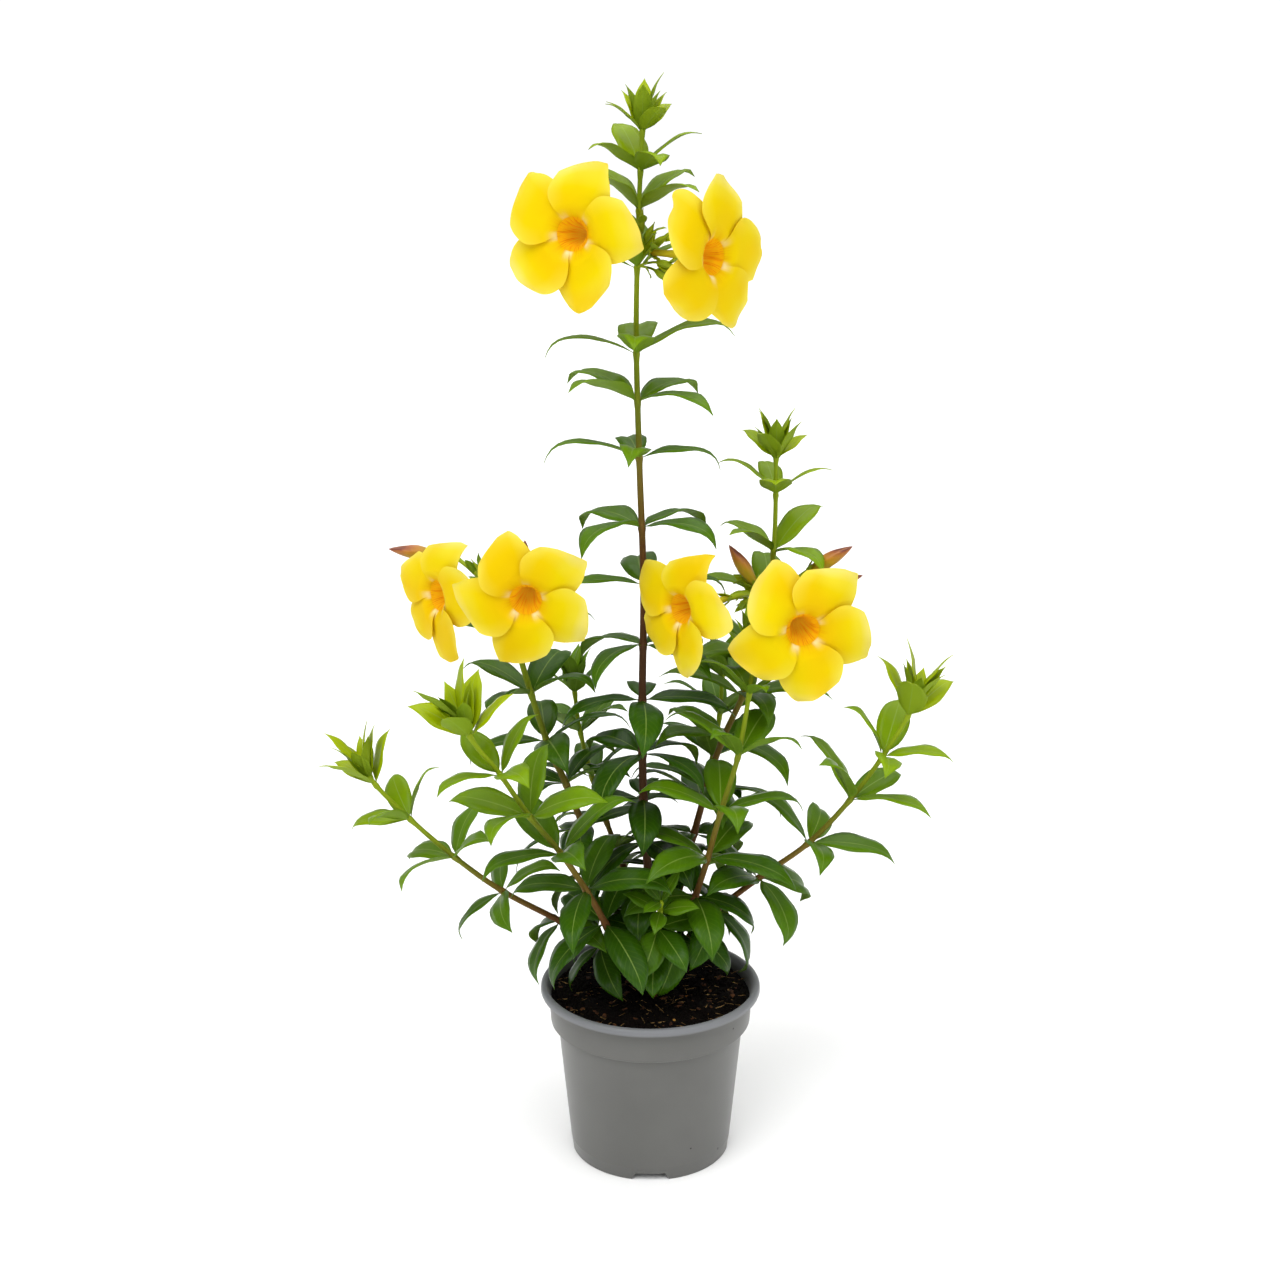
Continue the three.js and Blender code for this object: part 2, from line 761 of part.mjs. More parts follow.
// A stalk from a stem to the foot of a bloom or a bud, which it meets in the direction that they face.
function stalkTrack(owner, joint, end, out) {
  const { point } = along(owner.road, distanceAtHeight(owner.road, joint));
  const before = end.clone().addScaledVector(out, -12);
  const middle = point.clone().lerp(before, 0.5).addScaledVector(UP, 3);
  return track([point, middle, before, end]);
}

const stalkRadius = (share) => STALK.radius + (STALK.cup - STALK.radius) * smooth((share - 0.6) / 0.4);

// A stalk and the five sepals at its end, which stand round the foot of a flower, as one skin: rings of five
// points up the stalk, then rings of ten for the cup, its long teeth and its inside.
function stalkSolid(road, frame) {
  const { cup, sepal, spread: wide, steps } = STALK;
  const points = [];
  for (let i = 0; i < steps; i += 1) {
    const share = i / steps;
    const { point, heading } = along(road, share * road.length);
    const across = new THREE.Matrix4().lookAt(heading, vec(0, 0, 0), frameUp(frame));
    const ring = circle(5, () => stalkRadius(share), () => 0);
    points.push(...ring.map((at) => at.applyMatrix4(across).add(point)));
  }
  const rings = [
    circle(10, () => cup + 0.7, () => -2),
    circle(10, (j) => (j % 2 ? cup + 1.2 : wide), (j) => (j % 2 ? 0.3 : sepal)),
    circle(10, () => cup + 0.3, () => 0),
  ];
  const first = points.length;
  points.push(...rings.flat().map((at) => at.applyMatrix4(frame)));
  const foot = points.push(along(road, 0).point) - 1;
  const top = points.push(vec(0, 0, 0).applyMatrix4(frame)) - 1;
  const triangles = [];
  const quad = (a, b, c, d) => triangles.push([a, b, c], [a, c, d]);
  for (let j = 0; j < 5; j += 1) {
    const next = (j + 1) % 5;
    triangles.push([foot, next, j]);
    for (let a = 0; a < first - 5; a += 5) quad(a + j, a + next, a + 5 + next, a + 5 + j);
    const [from, to] = [first - 5 + j, first - 5 + next];
    const cupped = [2 * j, 2 * j + 1, (2 * j + 2) % 10].map((at) => first + at);
    triangles.push([from, to, cupped[1]], [from, cupped[1], cupped[0]], [to, cupped[2], cupped[1]]);
  }
  for (let j = 0; j < 10; j += 1) {
    const next = (j + 1) % 10;
    [first, first + 10].forEach((a) => quad(a + j, a + next, a + 10 + next, a + 10 + j));
    triangles.push([top, first + 20 + j, first + 20 + next]);
  }
  return solid(geometryFrom(points, triangles));
}

// Points round a circle, each with its own radius and height.
function circle(count, radiusAt, heightAt) {
  return Array.from({ length: count }, (_, j) => {
    const turn = (j * Math.PI * 2) / count;
    return vec(radiusAt(j) * Math.cos(turn), radiusAt(j) * Math.sin(turn), heightAt(j));
  });
}

const frameUp = (frame) => vec(0, 0, 0).setFromMatrixColumn(frame, 1);

function budFrame(bud) {
  const tip = vec(...bud.tip);
  const base = vec(...bud.base);
  const out = tip.clone().sub(base).normalize();
  const right = UP.clone().cross(out).normalize();
  return new THREE.Matrix4().makeBasis(right, out.clone().cross(right), out).setPosition(base);
}

// A bud: a slim spindle, fullest below its middle.
function budSolid(bud) {
  const length = vec(...bud.tip).distanceTo(vec(...bud.base));
  const { profile, radius } = BUD;
  const points = profile.map(([share, wide]) => new THREE.Vector2(wide * radius, share * length));
  const lathe = new THREE.LatheGeometry(points, BUD.sides).rotateX(Math.PI / 2).rotateZ(Math.PI);
  return solid(lathe).transform(budFrame(bud).toArray());
}

// A young green bud on its own thin stalk, as one rod that swells and ends in a point.
function greenBud(owner, joint, tip) {
  const { point, heading } = along(owner.road, distanceAtHeight(owner.road, joint));
  const end = vec(...tip);
  const middle = point.clone().lerp(end, 0.45).addScaledVector(heading, 3);
  const road = track([point, middle, end]);
  const swell = (share) => 1.9 * smooth((share - 0.45) / 0.2);
  const radiusAt = (share) => 0.9 + swell(share) - 2.5 * smooth((share - 0.68) / 0.32);
  return { road, radiusAt, solid: rod(road, radiusAt, 4, 6) };
}

// The pot and the soil

// A profile of radii and heights, turned round the pot's axis.
function turned(profile, sides) {
  const points = profile.map(([radius, height]) => new THREE.Vector2(radius, height));
  return new THREE.LatheGeometry(points, sides).rotateX(Math.PI / 2);
}

// The radius of the outside of the pot's wall below the collar.
const wallRadius = (z) => THREE.MathUtils.lerp(POT.footRadius, POT.bodyTop, z / (POT.collarFoot - 1));

function makePot() {
  const { height, wall, floor, discRadius: disc, channelHeight: channel, slope, slopeWall } = POT;
  const step = POT.collarFoot;
  const lip = height - POT.lipHeight;
  const profile = [
    [0, 0],
    [disc, 0],
    [disc + slope, channel],
    [POT.footRadius - wall, channel],
    [POT.footRadius - wall, 0],
    [POT.footRadius, 0],
    [POT.bodyTop, step - 1],
    [POT.collarBottom, step],
    [POT.collarTop, lip - 0.5],
    [POT.lipRadius - 0.8, lip],
    [POT.lipRadius, lip + 1.5],
    [POT.lipRadius - 0.5, height - 1.4],
    [POT.lipRadius - 2.2, height],
    [POT.lipRadius - 4.2, height - 0.4],
    [POT.collarTop - wall, lip - 1.5],
    [POT.collarBottom - wall, step + 1.4],
    [POT.bodyTop - wall, step + 0.3],
    [wallRadius(channel + floor) - wall, channel + floor],
    [disc + slope - slopeWall, channel + floor],
    [disc - slopeWall, floor],
    [0, floor],
  ];
  let pot = solid(turned(profile, POT.sides));
  for (let k = 0; k < NOTCH.count; k += 1) {
    const outline = new THREE.Shape([
      new THREE.Vector2(-NOTCH.width / 2, -1),
      new THREE.Vector2(NOTCH.width / 2, -1),
      new THREE.Vector2(NOTCH.width / 2 - NOTCH.slope, NOTCH.height - 0.8),
      new THREE.Vector2(-NOTCH.width / 2 + NOTCH.slope, NOTCH.height - 0.8),
    ]);
    const cutter = new THREE.ExtrudeGeometry(outline, { depth: 8, bevelEnabled: false });
    cutter.rotateX(Math.PI / 2).translate(0, -POT.footRadius + 5, 0);
    cutter.rotateZ((k * Math.PI * 2) / NOTCH.count);
    pot = pot.subtract(solid(cutter));
  }
  for (let k = 0; k < DRAIN.count; k += 1) {
    const hole = new THREE.CylinderGeometry(DRAIN.radius, DRAIN.radius, 10, 6);
    hole.rotateX(Math.PI / 2).translate(DRAIN.ring, 0, channel);
    pot = pot.subtract(solid(hole.rotateZ(((k + 0.5) * Math.PI * 2) / DRAIN.count)));
  }
  return pot;
}

// Low mounds on the soil, as a sum of three waves.
function mound(x, y) {
  const cross = Math.sin(x / 11 + 0.7) * Math.cos(y / 9);
  const slanted = 0.6 * Math.sin((x + y) / 6.3) + 0.5 * Math.cos((x - 2 * y) / 14);
  return SOIL.relief * (cross + slanted) * 0.6;
}

function makeSoil() {
  const { wall, floor, discRadius, channelHeight: channel, slope, slopeWall } = POT;
  const disc = discRadius - slopeWall - GAP;
  const edge = POT.collarTop - wall - GAP - 0.3;
  const profile = [
    [0, floor + GAP],
    [disc, floor + GAP],
    [disc + slope, channel + floor + GAP],
    [wallRadius(channel + floor) - wall - GAP, channel + floor + GAP],
    [POT.bodyTop - wall - GAP, POT.collarFoot + 0.4],
    [POT.collarBottom - wall - GAP, POT.collarFoot + 1.4 + GAP],
    [edge, SOIL.top - 1.5],
  ];
  SOIL.rings.toReversed().forEach((radius) => profile.push([radius, SOIL.top]));
  const soil = turned(profile, SOIL.sides);
  const position = soil.attributes.position;
  for (let i = 0; i < position.count; i += 1) {
    const z = position.getZ(i);
    if (z > SOIL.top - 0.01) position.setZ(i, z + mound(position.getX(i), position.getY(i)));
  }
  return solid(soil);
}

// Growing the leaves

// How the leaves of a whorl stand, from the tuft at a stem's tip down to the oldest: degrees above the
// whorl's plane, degrees that the rib arches, degrees that its tip hooks, and length over the full length.
const HABIT = [
  { tilt: 64, droop: 4, hook: 10, size: 0.42 },
  { tilt: 56, droop: 16, hook: 22, size: 0.5 },
  { tilt: 47, droop: 36, hook: 32, size: 0.72 },
  { tilt: 44, droop: 42, hook: 34, size: 0.84 },
  { tilt: 40, droop: 44, hook: 36, size: 0.94 },
];

// The stand of the leaves at a rank and a height: past the ranks in HABIT they are full grown and sink as
// they age, and those near the pot are short and broad and hang.
function habitAt(rank, height) {
  const age = rank - HABIT.length + 1;
  const tilt = Math.max(12, 38 - 4 * age);
  const grownUp = { tilt, droop: Math.min(58, 46 + 2 * age), hook: 32, size: 1 };
  const habit = HABIT[rank] ?? grownUp;
  const low = smooth((290 - height) / 110);
  return {
    tilt: habit.tilt - 30 * low,
    droop: habit.droop + 12 * low,
    hook: habit.hook,
    size: habit.size * (1 - 0.18 * low),
    width: 1 + 0.14 * low,
  };
}

function makeLeaf(owner, whorl, k, rank) {
  const { stem } = owner;
  const habit = habitAt(rank, whorl.point.z);
  const [turn, tilt, droop, hook, long, wide, roll] = Array.from({ length: 7 }, () => spread(1));
  const young = rank < 2 ? stem.young ?? 1 : 1;
  return {
    whorl,
    azimuth: stem.phase + 90 * k + 45 * whorl.half + 8 * turn,
    tilt: habit.tilt + 7 * tilt,
    droop: habit.droop * (1 + 0.2 * droop),
    hook: habit.hook * (1 + 0.5 * hook),
    length: stem.length * habit.size * young * (1 + 0.09 * long),
    width: habit.width * (1 + 0.1 * wide),
    roll: 12 * roll,
  };
}

// Turns a leaf's angles into its root, its heading and the way that its face looks.
function place(leaf) {
  const { axis, point } = leaf.whorl;
  const { first, second } = squareTo(axis);
  const azimuth = radians(leaf.azimuth);
  const tilt = radians(leaf.tilt);
  const outward = first.multiplyScalar(Math.cos(azimuth)).addScaledVector(second, Math.sin(azimuth));
  const heading = outward.clone().multiplyScalar(Math.cos(tilt)).addScaledVector(axis, Math.sin(tilt));
  const face = axis.clone().multiplyScalar(Math.cos(tilt)).addScaledVector(outward, -Math.sin(tilt));
  face.applyAxisAngle(heading, radians(leaf.roll));
  return { ...leaf, root: point, heading, face };
}

const obstacles = { leaves: [], rods: [], petals: [] };

// True if a leaf is clear of everything. Its own stem and whorl matter only past its first stretch.
function isFree(leaf, owner) {
  const lifts = [0, LEAF.margin, -LEAF.margin];
  const sheets = lifts.map((lift) => leafSheet(leaf, lift));
  const outer = lifts.map((lift) => leafSheet(leaf, lift, 1));
  if (sheets[0].triangles.some((corners) => corners.some(inPot))) return false;
  const meets = (stretch) => sheetMeetsRod(stretch.owner === owner ? outer[0] : sheets[0], stretch);
  if (obstacles.rods.some(meets)) return false;
  if (obstacles.petals.some((petal) => sheets.some((one) => sheetsCross(one, petal)))) return false;
  return !obstacles.leaves.some((other) => {
    const same = other.whorl === leaf.whorl;
    return (same ? outer : sheets).some((one) => sheetsCross(one, same ? other.outer : other.sheet));
  });
}

// The first stand near its own at which a leaf is clear of everything else, or nothing.
function settle(leaf, owner) {
  for (const size of [1, 0.86, 0.7]) {
    for (const lift of [0, -16, 15]) {
      for (const turn of [0, 9, -9, 18, -18, 27, -27]) {
        const tried = place({
          ...leaf,
          azimuth: leaf.azimuth + turn,
          tilt: leaf.tilt + lift,
          length: leaf.length * size,
        });
        if (isFree(tried, owner)) return tried;
      }
    }
  }
  return null;
}

function growLeaves(owner) {
  const { stem, road } = owner;
  stem.whorls.forEach((height, i) => {
    const distance = distanceAtHeight(road, height);
    const rank = stem.tuft === false ? i + 4 : i;
    const { point, heading } = along(road, distance);
    const half = (rank + (height < stem.offbeat ? 1 : 0)) % 2;
    const whorl = { point, axis: heading.lerp(UP, 0.35).normalize(), distance, half, leaves: [] };
    owner.whorls.push(whorl);
    for (let k = 0; k < 4; k += 1) {
      const leaf = settle(makeLeaf(owner, whorl, k, rank), owner);
      if (leaf) {
        whorl.leaves.push({ leaf, facet: 2 * k + half });
        obstacles.leaves.push({ whorl, sheet: leafSheet(leaf, 0), outer: leafSheet(leaf, 0, 1) });
      }
    }
  });
}

// Assembly

function addRods(owner, road, radiusAt, steps) {
  stretches(road, radiusAt, steps).forEach((stretch) => obstacles.rods.push({ ...stretch, owner }));
}

// The largest body of a solid: a loose scrap is dropped and a sealed hollow is filled.
function wholeBody(made) {
  return made.decompose().sort((a, b) => b.volume() - a.volume())[0];
}

STEMS.forEach(growStem);
const owners = [...grown.values()];

owners.forEach((owner) => {
  addRods(owner, owner.road, owner.radiusAt, Math.ceil(owner.road.length / STEM_STEP));
});
[...BLOOMS, ...BUDS].forEach((flower) => {
  const owner = grown.get(flower.stem);
  const frame = flower.tip ? budFrame(flower) : bloomFrame(flower);
  const back = flower.tip ? 0 : -PETAL.funnel - PETAL.tube;
  const out = vec(0, 0, 0).setFromMatrixColumn(frame, 2).normalize();
  const end = vec(0, 0, back - GAP).applyMatrix4(frame);
  const foot = frame.clone().setPosition(end);
  const road = stalkTrack(owner, flower.joint, end, out);
  owner.greens.push(stalkSolid(road, foot));
  addRods(owner, road, stalkRadius, 6);
  const tube = 2 * PETAL.tubeRadius;
  const body = flower.tip ? [[0, 1, BUD.radius]] : [[0, 0.45, tube], [0.45, 1, PETAL.throat]];
  const length = flower.tip ? vec(...flower.tip).distanceTo(vec(...flower.base)) : -back;
  body.forEach(([from, to, radius]) => {
    const edge = [from, to].map((share) => vec(0, 0, back + share * length).applyMatrix4(frame));
    const box = new THREE.Box3().setFromPoints(edge).expandByScalar(radius + LEAF.margin);
    obstacles.rods.push({ edge, radius, box, owner: null });
  });
});
BLOOMS.forEach((bloom) => {
  const frame = bloomFrame(bloom);
  bloomPetals(bloom).forEach((petal) => {
    const rows = petalRows(petal, 0).map((row) => row.map((point) => point.applyMatrix4(frame)));
    obstacles.petals.push(sheet(rowTriangles(rows)));
  });
});
GREEN_BUDS.forEach(({ stem, joint, tips }) => {
  const owner = grown.get(stem);
  tips.forEach((tip) => {
    const bud = greenBud(owner, joint, tip);
    owner.greens.push(bud.solid);
    addRods(owner, bud.road, bud.radiusAt, 4);
  });
});
owners.forEach(growLeaves);

let soil = makeSoil();
owners
  .filter((owner) => !owner.parent)
  .forEach((owner) => {
    soil = soil.subtract(stemSolid(owner, GAP, false));
  });

const group = new THREE.Group();
group.name = 'potted_allamanda';
group.add(meshOf('pot', makePot(), COLOURS.pot, 0.55));
group.add(meshOf('soil', soil, COLOURS.soil, 0.95));
owners.forEach((owner) => {
  let plant = joined([stemSolid(owner, 0, true), ...owner.greens]);
  if (owner.parent) plant = plant.subtract(stemSolid(owner.parent, GAP, false));
  group.add(meshOf(`stem_${owner.stem.name}`, wholeBody(plant), COLOURS.leaf, 0.45));
});
BLOOMS.forEach((bloom) => group.add(meshOf(bloom.name, wholeBody(bloomSolid(bloom)), COLOURS.petal, 0.5)));
BUDS.forEach((bud) => group.add(meshOf(bud.name, budSolid(bud), COLOURS.bud, 0.5)));

export default group;
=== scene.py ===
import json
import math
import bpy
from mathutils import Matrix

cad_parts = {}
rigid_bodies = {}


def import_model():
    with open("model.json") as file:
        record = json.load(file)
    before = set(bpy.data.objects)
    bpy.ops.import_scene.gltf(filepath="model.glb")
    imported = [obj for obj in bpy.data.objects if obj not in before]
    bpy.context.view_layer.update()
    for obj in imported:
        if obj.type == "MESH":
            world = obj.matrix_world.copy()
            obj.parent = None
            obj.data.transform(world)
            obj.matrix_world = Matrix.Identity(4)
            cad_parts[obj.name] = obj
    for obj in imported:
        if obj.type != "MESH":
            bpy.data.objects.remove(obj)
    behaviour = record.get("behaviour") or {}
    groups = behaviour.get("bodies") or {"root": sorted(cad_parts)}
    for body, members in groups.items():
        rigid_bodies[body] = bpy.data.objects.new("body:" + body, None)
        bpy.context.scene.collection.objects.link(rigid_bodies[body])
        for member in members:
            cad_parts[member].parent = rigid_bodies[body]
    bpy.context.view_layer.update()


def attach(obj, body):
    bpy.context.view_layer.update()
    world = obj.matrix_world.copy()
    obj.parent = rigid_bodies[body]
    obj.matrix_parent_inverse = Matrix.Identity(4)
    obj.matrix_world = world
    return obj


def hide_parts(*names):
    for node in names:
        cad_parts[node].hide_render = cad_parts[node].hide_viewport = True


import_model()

# The looks of a potted allamanda. Lengths are in millimetres until a mesh is made of them, which is in metres.
# The stems and leaves grow here by the same rule and the same seeded draws as in the solids, so each fine leaf
# lies where its solid one does.

from types import SimpleNamespace

import bpy
import numpy as np

MM = 0.001

# The plant, as in the solids. X runs to the right, Y away from the viewer and Z up, from the middle of the pot's foot.
# A stem has its foot or its fork, the points it runs through, and the heights of its rings of leaves from the tip
# down. Phase turns the rings, and above the height offbeat they change their beat. Angles are in degrees.

STEMS = [
    dict(name="leader", foot=[2, -7], path=[(1, -2, 190), (-5, 0, 280), (-6, 0, 366), (-5, 0, 455),
         (-8, 0, 549), (-10, 0, 640), (-8, 0, 724), (-5, 0, 787)], whorls=[786, 777, 750, 724, 684, 624,
         590, 549, 498, 455, 409, 366, 324, 288, 254, 222, 192], phase=4, offbeat=650, length=74,
         thick=4),
    dict(name="tall_right", foot=[13, 3], path=[(15, 12, 175), (41, 36, 274), (55, 42, 319),
         (81, 40, 386), (92, 38, 470), (93, 40, 550)], whorls=[549, 541, 514, 470, 434, 386, 356, 319,
         282, 248, 216], phase=2, length=72, thick=3.5),
    dict(name="tall_left", foot=[-9, 2], path=[(-28, 18, 189), (-48, 30, 243), (-66, 38, 288),
         (-77, 40, 312), (-91, 40, 358), (-102, 36, 402), (-108, 30, 432)], whorls=[398, 358, 320, 286,
         252, 220, 190], phase=10, length=74, thick=3.4, tuft=False),
    dict(name="back_right", foot=[5, 13], path=[(18, 40, 180), (40, 78, 250), (54, 100, 310),
         (58, 110, 363)], whorls=[362, 350, 320, 288, 254, 222, 190], phase=20, length=74, thick=3),
    dict(name="front_right", parent="tall_right", fork=158, path=[(26, -18, 194), (40, -32, 243),
         (51, -40, 290), (64, -38, 335), (72, -30, 381), (77, -20, 415)], whorls=[414, 404, 380, 335,
         292, 254, 220, 190], phase=12, length=76, thick=2.9),
    dict(name="far_right", parent="tall_right", fork=146, path=[(38, -2, 186), (81, -6, 225),
         (119, -10, 256), (149, -14, 292), (172, -18, 328), (189, -20, 359), (196, -20, 377)],
         whorls=[376, 360, 328, 292, 256, 226, 198], phase=-6, young=1.3, length=78, thick=2.8),
    dict(name="far_left", parent="tall_left", fork=146, path=[(-31, -8, 166), (-65, -14, 192),
         (-111, -20, 221), (-146, -24, 250), (-178, -28, 282), (-201, -30, 308), (-212, -30, 325)],
         whorls=[324, 310, 282, 250, 221, 194, 172], phase=0, young=1.3, length=72, thick=2.8),
    dict(name="front_left", parent="tall_left", fork=156, path=[(-26, -38, 188), (-43, -58, 231),
         (-64, -78, 275), (-86, -92, 310), (-106, -104, 347), (-120, -111, 368), (-131, -116, 390)],
         whorls=[389, 376, 344, 308, 275, 240, 208], phase=30, young=1.3, length=76, thick=3),
    dict(name="back_left", parent="back_right", fork=150, path=[(-16, 56, 196), (-40, 88, 250),
         (-56, 106, 304), (-62, 114, 349)], whorls=[348, 336, 304, 270, 238, 208], phase=50, length=74,
         thick=2.6),
    dict(name="low_front", parent="leader", fork=160, path=[(4, -30, 184), (6, -52, 208),
         (8, -70, 235)], whorls=[234, 224, 204, 186], phase=40, length=70, thick=2.4),
]
# A bloom has the height of its stalk on the stem, the middle of its throat, its size, turn, pitch and roll, and for
# each of its five petals how far it leans, curls back and twists
BLOOMS = [
    dict(name="bloom_top_left", stem="leader", joint=690, centre=(-54, -48, 712), size=0.94, yaw=-22,
         pitch=4, roll=8, lean=[3, 2, 0, 0, -4], curl=[14, 20, 26, 18, 16], twist=[0, -0.06, 0.1, 0.04,
         0]),
    dict(name="bloom_top_right", stem="leader", joint=690, centre=(46, -43, 696), size=1, yaw=52,
         pitch=0, roll=4, lean=[0, 10, -2, -3, 12], curl=[10, 8, 50, 26, 12], twist=[0, -0.3, 0.06,
         0.04, -0.12]),
    dict(name="bloom_far_left", stem="tall_left", joint=428, centre=(-159, -2, 447), size=0.92, yaw=-56,
         pitch=0, roll=10, lean=[6, -12, 15, -2, -2], curl=[46, 36, 12, 24, 28], twist=[0, 0, 0, 0, 0]),
    dict(name="bloom_left", stem="tall_left", joint=430, centre=(-88, -62, 459), size=0.92, yaw=-4,
         pitch=-8, roll=51, lean=[2, -4, -3, 0, 2], curl=[20, 22, 32, 14, 28], twist=[0, 0, 0, 0, 0]),
    dict(name="bloom_middle", stem="tall_right", joint=430, centre=(19, -50, 450), size=0.87, yaw=-50,
         pitch=0, roll=12, lean=[2, -8, 8, -2, -12], curl=[42, 34, 16, 26, 24], twist=[0, 0.1, 0, 0,
         0]),
    dict(name="bloom_right", stem="tall_right", joint=434, centre=(110, -45, 432), size=0.99, yaw=10,
         pitch=-6, roll=-6, lean=[0, 2, -6, 0, 4], curl=[26, 18, 34, 18, 4], twist=[0, 0, 0, 0, 0]),
]
# A bud has the height of its stalk on the stem, its foot and its tip. Green buds share a joint, and have their tips.
BUDS = [
    dict(name="bud_far_left", stem="tall_left", joint=426, base=(-160, 59, 463), tip=(-197, 46, 471)),
    dict(name="bud_left", stem="tall_left", joint=422, base=(-96, 56, 444), tip=(-95, 58, 475)),
    dict(name="bud_middle", stem="tall_right", joint=426, base=(79, 26, 447), tip=(58, 22, 480)),
    dict(name="bud_right", stem="tall_right", joint=438, base=(116, 14, 461), tip=(148, 5, 483)),
    dict(name="bud_far_right", stem="tall_right", joint=426, base=(121, 12, 448), tip=(156, 5, 461)),
]
GREEN_BUDS = [
    dict(stem="leader", joint=686, tips=[(-5, -18, 727), (3, -21, 718), (14, -30, 711), (19, -31, 688),
         (15, -27, 677)]),
    dict(stem="tall_right", joint=432, tips=[(62, 24, 456), (60, 16, 444), (64, 20, 434)]),
    dict(stem="tall_left", joint=430, tips=[(-139, 40, 462), (-134, 34, 466)]),
]
# How the leaves of the youngest rings stand, from the tip down: their rise and bend, and their size
HABIT = [
    dict(tilt=64, droop=4, hook=10, size=0.42),
    dict(tilt=56, droop=16, hook=22, size=0.5),
    dict(tilt=47, droop=36, hook=32, size=0.72),
    dict(tilt=44, droop=42, hook=34, size=0.84),
    dict(tilt=40, droop=44, hook=36, size=0.94),
]

SOIL_TOP = 129
HOLE_DEPTH = 32
POT_INSIDE, POT_OUTSIDE, POT_TOP = 74, 88, 141  # with room for a leaf to pass
LEAF = dict(slim=0.172, fold=0.1, steps=20, stations=[0, 3, 10, 16, 20], grow=1.2, margin=1.8)
PETAL = dict(length=47, half=25, throat=11, funnel=31, tube=27, tube_radius=2.3, tilt=0.11, cup=0.12, skew=7)
BUD_RADIUS = 5.6
STALK = dict(radius=1.4, cup=2.3)
STEM_STEP = 34  # the stretches that a stem is tested in


# Small helpers

UP = np.array([0.0, 0.0, 1.0])
SIDEWAYS = np.array([1.0, 0.0, 0.0])


def unit(v):
    return v / np.linalg.norm(v)


def smooth(t):
    s = np.clip(t, 0, 1)
    return s * s * (3 - 2 * s)


def turned_towards(start, towards, angle):
    """A direction turned by an angle towards another one square to it."""
    return start * np.cos(angle) + towards * np.sin(angle)


def square_to(heading):
    first = unit(SIDEWAYS - heading * heading[0])
    return first, np.cross(heading, first)


TRACK_STEPS = 12  # the points of a track from one of its knots to the next


def track(points):
    """A smooth line through points, with the length up to each point of the line."""
    knots = np.array(points, float)
    knots = np.vstack([2 * knots[0] - knots[1], knots, 2 * knots[-1] - knots[-2]])
    spans = len(points) - 1
    line = []
    for k in range(TRACK_STEPS * spans + 1):
        at = spans * (k / (TRACK_STEPS * spans))
        i = min(int(at), spans - 1)
        w = at - i
        before, start, end, after = knots[i:i + 4]
        out, into = (end - before) / 2, (after - start) / 2
        line.append(start + out * w + (3 * (end - start) - 2 * out - into) * w**2
                    + (2 * (start - end) + out + into) * w**3)
    line = np.array(line)
    reach = np.concatenate([[0], np.cumsum(np.linalg.norm(np.diff(line, axis=0), axis=1))])
    return SimpleNamespace(line=line, reach=reach, length=reach[-1])


def along(road, distance):
    """The point and the direction of a track at a distance along it."""
    i = 1
    while i < len(road.line) - 1 and road.reach[i] < distance:
        i += 1
    share = (distance - road.reach[i - 1]) / (road.reach[i] - road.reach[i - 1])
    run = road.line[i] - road.line[i - 1]
    return road.line[i - 1] + run * share, unit(run)


def distance_at_height(road, height):
    z = road.line[:, 2]
    i = 1
    while i < len(z) - 1 and z[i] < height:
        i += 1
    share = (height - z[i - 1]) / (z[i] - z[i - 1])
    return road.reach[i - 1] + share * (road.reach[i] - road.reach[i - 1])


# Seeded draws, so that every run grows the same plant

state = dict(seed=20260)


def spread():
    """The next draw, from -1 to 1."""
    state["seed"] = (state["seed"] * 1664525 + 1013904223) % 2**32
    return state["seed"] / 2**32 * 2 - 1


# Blooms: a bloom's own frame has its origin in the mouth of its throat, X to the right and Y up for someone
# who looks into it, and Z along its axis, out of the flower


def frame_of(out, origin, size=1):
    right = unit(np.cross(UP, out))
    matrix = np.column_stack([right, np.cross(out, right), out]) * size
    return lambda points: np.asarray(points) @ matrix.T + origin


def bloom_frame(bloom):
    yaw, pitch = math.radians(bloom["yaw"]), math.radians(bloom["pitch"])
    out = np.array([math.sin(yaw) * math.cos(pitch), -math.cos(yaw) * math.cos(pitch), math.sin(pitch)])
    return frame_of(out, np.array(bloom["centre"], float), bloom["size"]), out


def bud_frame(bud):
    base, tip = np.array(bud["base"], float), np.array(bud["tip"], float)
    return frame_of(unit(tip - base), base), unit(tip - base)


def petal_rib(curl, steps):
    """The rib of a petal: it leaves the throat steeply, lies down across the face and then curls back."""
    t = np.arange(steps + 1) / steps
    angle = np.radians(28 + 60 * smooth(t / 0.3) + curl * t * t)
    step = PETAL["length"] / steps
    radius = PETAL["throat"] - 1 + np.concatenate([[0], np.cumsum(np.sin(angle[1:]) * step)])
    height = -6 + np.concatenate([[0], np.cumsum(np.cos(angle[1:]) * step)])
    return t, radius, height


def petal_half(t, radius, room=0.6):
    """Half the width of a petal: narrow at its root, round at its end, and no wider than there is room for."""
    narrow = 0.3 + 0.7 * smooth(t / 0.55)
    end = np.sqrt(np.maximum(0, 1 - (np.maximum(0, t - 0.62) / 0.4) ** 2))
    return np.minimum(PETAL["half"] * narrow * end, radius * (room + smooth((t - 0.2) / 0.3)))


